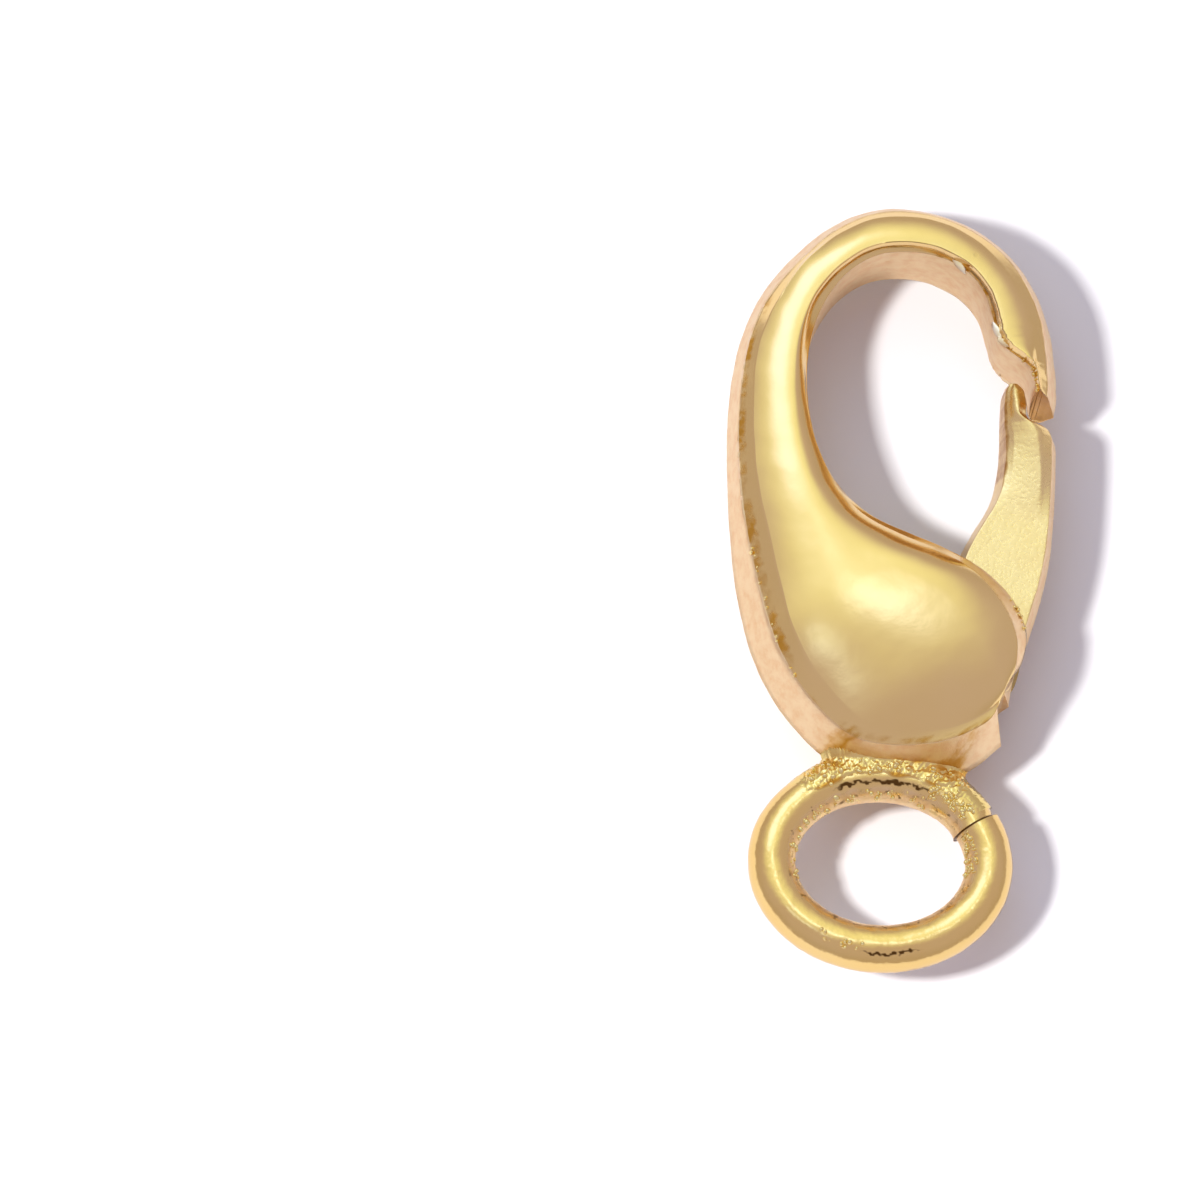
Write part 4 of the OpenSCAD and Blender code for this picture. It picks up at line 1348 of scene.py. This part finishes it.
# %% The spring
leaf_bend = np.array([-pocket_x - recess_d + leaf_gap + leaf_t / 2, leaf_foot])
bend_at = turned(leaf_bend + pivot[:2], open_angle)
leaf_lean = math.asin((pivot[0] - bend_at[0] - knuckle_d / 2 - leaf_gap - leaf_t / 2) / leaf_len)
wall_way = np.array([-math.sin(open_angle), math.cos(open_angle)])
gate_way = np.array([math.sin(leaf_lean), math.cos(leaf_lean)])
bend_turns = np.linspace(0, 1, 7)
v_path = [bend_at + wall_way * leaf_len, bend_at + wall_way * leaf_t]
v_path += [bend_at + ((1 - t)**2 * wall_way + t**2 * gate_way) * leaf_t * 0.9 for t in bend_turns]
v_path += [bend_at + gate_way * leaf_t, bend_at + gate_way * leaf_len]


def strip(path, thickness):
    """Outline of a strip of even thickness that follows a path in the plane."""
    p = np.array(path)
    way = np.gradient(p, axis=0)
    way /= np.linalg.norm(way, axis=1)[:, None]
    side = np.stack([-way[:, 1], way[:, 0]], 1) * thickness / 2
    return np.concatenate([p + side, (p - side)[::-1]])


spring = prism("leaf_spring", strip(v_path, leaf_t), leaf_w / 2, wall=0.0)
spring.data.materials.append(blued_steel)
print(f"spring: legs {round(math.degrees(leaf_lean), 1)} degrees off, {volume(spring):.2f} mm3")

# %% [markdown]
# ## Riding on the frame
# Each piece now rides on the CAD body that it belongs to, and the CAD node that it stands for is
# hidden.

# %% Pieces on their bodies
for piece, ride_on, stands_for, finish in (
        (body, "body", "clasp_body", "gold_body"), (ring, "body", "clasp_body", "gold_body"),
        (solder, "body", "clasp_body", "gold_body"), (chips, "body", "clasp_body", "gold_body"),
        (beads, "body", "clasp_body", "gold_body"),
        (grit_beads, "body", "clasp_body", "gold_body"), (gate, "gate", "gate", "gold_gate"),
        (pin, "body", "pivot_pin", "pin_steel"), (spring, "body", "gate_spring", "spring_steel")):
    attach(piece, ride_on)
    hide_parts(stands_for)
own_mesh(spring)
print("pieces:", [(p.name, len(p.data.polygons)) for p in (body, ring, solder, gate, pin, spring)])

# %% [markdown]
# ## The floor
# The clasp lies on plain pale paper. Gold mirrors that paper in its walls and undersides, and a
# white as bright as the picture wants would wash them out. So the paper has two whites: the
# camera sees the brighter one and the gold mirrors the darker one.

# %% Paper
FLOOR_HALF = 1500  # millimetres
FLOOR_Z = -0.02
stage_floor = new_piece("floor", [(x * FLOOR_HALF, y * FLOOR_HALF, FLOOR_Z) for x, y in (
    (-1, -1), (1, -1), (1, 1), (-1, 1))], [(0, 1, 2, 3)])
paper = bpy.data.materials.new("paper")
paper.use_nodes = True
tree = paper.node_tree
tree.nodes.clear()
lit = add(tree, "ShaderNodeBsdfDiffuse", {"Color": (0.80, 0.79, 0.80, 1)})
mirrored = add(tree, "ShaderNodeBsdfDiffuse", {"Color": (0.64, 0.61, 0.66, 1)})
which = add(tree, "ShaderNodeMixShader", {
    0: add(tree, "ShaderNodeLightPath").outputs["Is Glossy Ray"], 1: lit.outputs[0],
    2: mirrored.outputs[0]})
add(tree, "ShaderNodeOutputMaterial", {"Surface": which.outputs[0]})
stage_floor.data.materials.append(paper)
print("floor", 2 * FLOOR_HALF, "mm wide")

# %% [markdown]
# ## The lamp
# One soft lamp from the left throws the shadow to the right. It is small enough to give the
# shadow a shape, and it is kept out of the reflections, because the highlights on the gold come
# from broad panels and not from a spot.

# %% The lamp that throws the shadow
def softbox(name, azimuth, elevation, distance, width, height, radiance, colour):
    """An area light of that radiance that looks at the clasp from an azimuth and elevation."""
    lamp = bpy.data.lights.new(name, "AREA")
    lamp.shape, lamp.size, lamp.size_y = "RECTANGLE", width, height
    lamp.energy = radiance * math.pi * width * height
    lamp.color = colour
    box = bpy.data.objects.new(name, lamp)
    bpy.context.scene.collection.objects.link(box)
    a, e = math.radians(azimuth), math.radians(elevation)
    way = Vector((math.cos(a) * math.cos(e), math.sin(a) * math.cos(e), math.sin(e)))
    box.location = way * distance
    box.rotation_euler = way.to_track_quat("Z", "Y").to_euler()
    return box


key = softbox("left light", azimuth=202, elevation=57, distance=0.5, width=0.05, height=0.05,
              radiance=330.0, colour=(1.0, 1.0, 0.99))
key.visible_glossy = False
print("lamp at", [round(v, 3) for v in key.location])

# %% [markdown]
# ## The studio
# Polished gold has hardly a colour of its own: it shows what is round it. So the room is painted
# on the world. It is a warm grey, and four bright lobes stand for the panels of a studio: a
# broad one and a narrow one behind the clasp, and two small ones high above it. Area lights
# could do the same, but a lobe fades softly to its border, as a panel behind a diffuser does.
# The places, widths and strengths of the lobes come from the same fit as the table of faces.

# %% Four bright lobes in a grey room
LOBES = (  # azimuth, elevation, bright core and outer end in degrees, radiance
    (104, 58, 8, 51, (0.46, 0.60, 0.32)),
    (115, 55, 8, 20, (0.32, 0.46, 1.40)),
    (82, 79, 1, 9, (0.65, 0.88, 1.80)),
    (206, 75, 0, 8, (0.45, 0.66, 1.10)),
)
world = bpy.data.worlds.new("studio")
bpy.context.scene.world = world
world.use_nodes = True
tree = world.node_tree
tree.nodes.clear()
way = add(tree, "ShaderNodeTexCoord").outputs["Generated"]
height = add(tree, "ShaderNodeSeparateXYZ", {0: way}).outputs["Z"]
grey = blend(tree, ramp(tree, height, 0.0, 0.7), (0.48, 0.41, 0.45, 1), (0.53, 0.46, 0.57, 1))
for azimuth, elevation, core, end, radiance in LOBES:
    a, e = math.radians(azimuth), math.radians(elevation)
    to_lobe = (math.cos(a) * math.cos(e), math.sin(a) * math.cos(e), math.sin(e))
    cosine = add(tree, "ShaderNodeVectorMath", {0: way, 1: to_lobe},
                 operation="DOT_PRODUCT").outputs["Value"]
    off = maths(tree, "ARCCOSINE", maths(tree, "MINIMUM", cosine, 1.0))
    share = ramp(tree, off, math.radians(end), math.radians(core))
    glow = vectors(tree, "SCALE", radiance, share)
    grey = vectors(tree, "ADD", grey, glow)
sky = add(tree, "ShaderNodeBackground", {"Color": grey, "Strength": 1.0})
seen = add(tree, "ShaderNodeBackground", {"Color": (1, 1, 1, 1), "Strength": 1.0})
which = add(tree, "ShaderNodeMixShader", {
    0: add(tree, "ShaderNodeLightPath").outputs["Is Camera Ray"], 1: sky.outputs[0],
    2: seen.outputs[0]})
add(tree, "ShaderNodeOutputWorld", {"Surface": which.outputs[0]})
bpy.context.scene.view_settings.view_transform = "Standard"
print(len(LOBES), "lobes, the broadest", 2 * max(lobe[3] for lobe in LOBES), "degrees wide")

# %% [markdown]
# ## The camera
# The photographer stood over the clasp and leaned back a little, so the walls on the near side
# show. A long lens from afar keeps the hook and the ring at one scale. The three axes of the
# camera are computed from its two tilts and made a rotation, which is surer than typing angles.

# %% Camera
lean_x, lean_y = math.radians(4.5), math.radians(17)  # how far the camera leans from overhead
distance, frame_width = 1.1, 38.60 * MM
off_right, off_up = 9.39, 0.35  # millimetres from the picture's middle to the clasp's
away = Vector((-math.tan(lean_x), -math.tan(lean_y), 1)).normalized()
right = Vector((0, 1, 0)).cross(away).normalized()
up = away.cross(right)
aim = Vector((0, 0, mid_z * MM)) - right * off_right * MM - up * off_up * MM
camera = bpy.data.objects.new("camera", bpy.data.cameras.new("camera"))
bpy.context.scene.collection.objects.link(camera)
camera.data.sensor_width = 36
camera.data.lens = camera.data.sensor_width * distance / frame_width
camera.location = aim + away * distance
camera.rotation_euler = Matrix((right, up, away)).transposed().to_euler()
camera.data.clip_start, camera.data.clip_end = 0.01, 10
bpy.context.scene.camera = camera
print("camera at", tuple(round(v, 3) for v in camera.location))
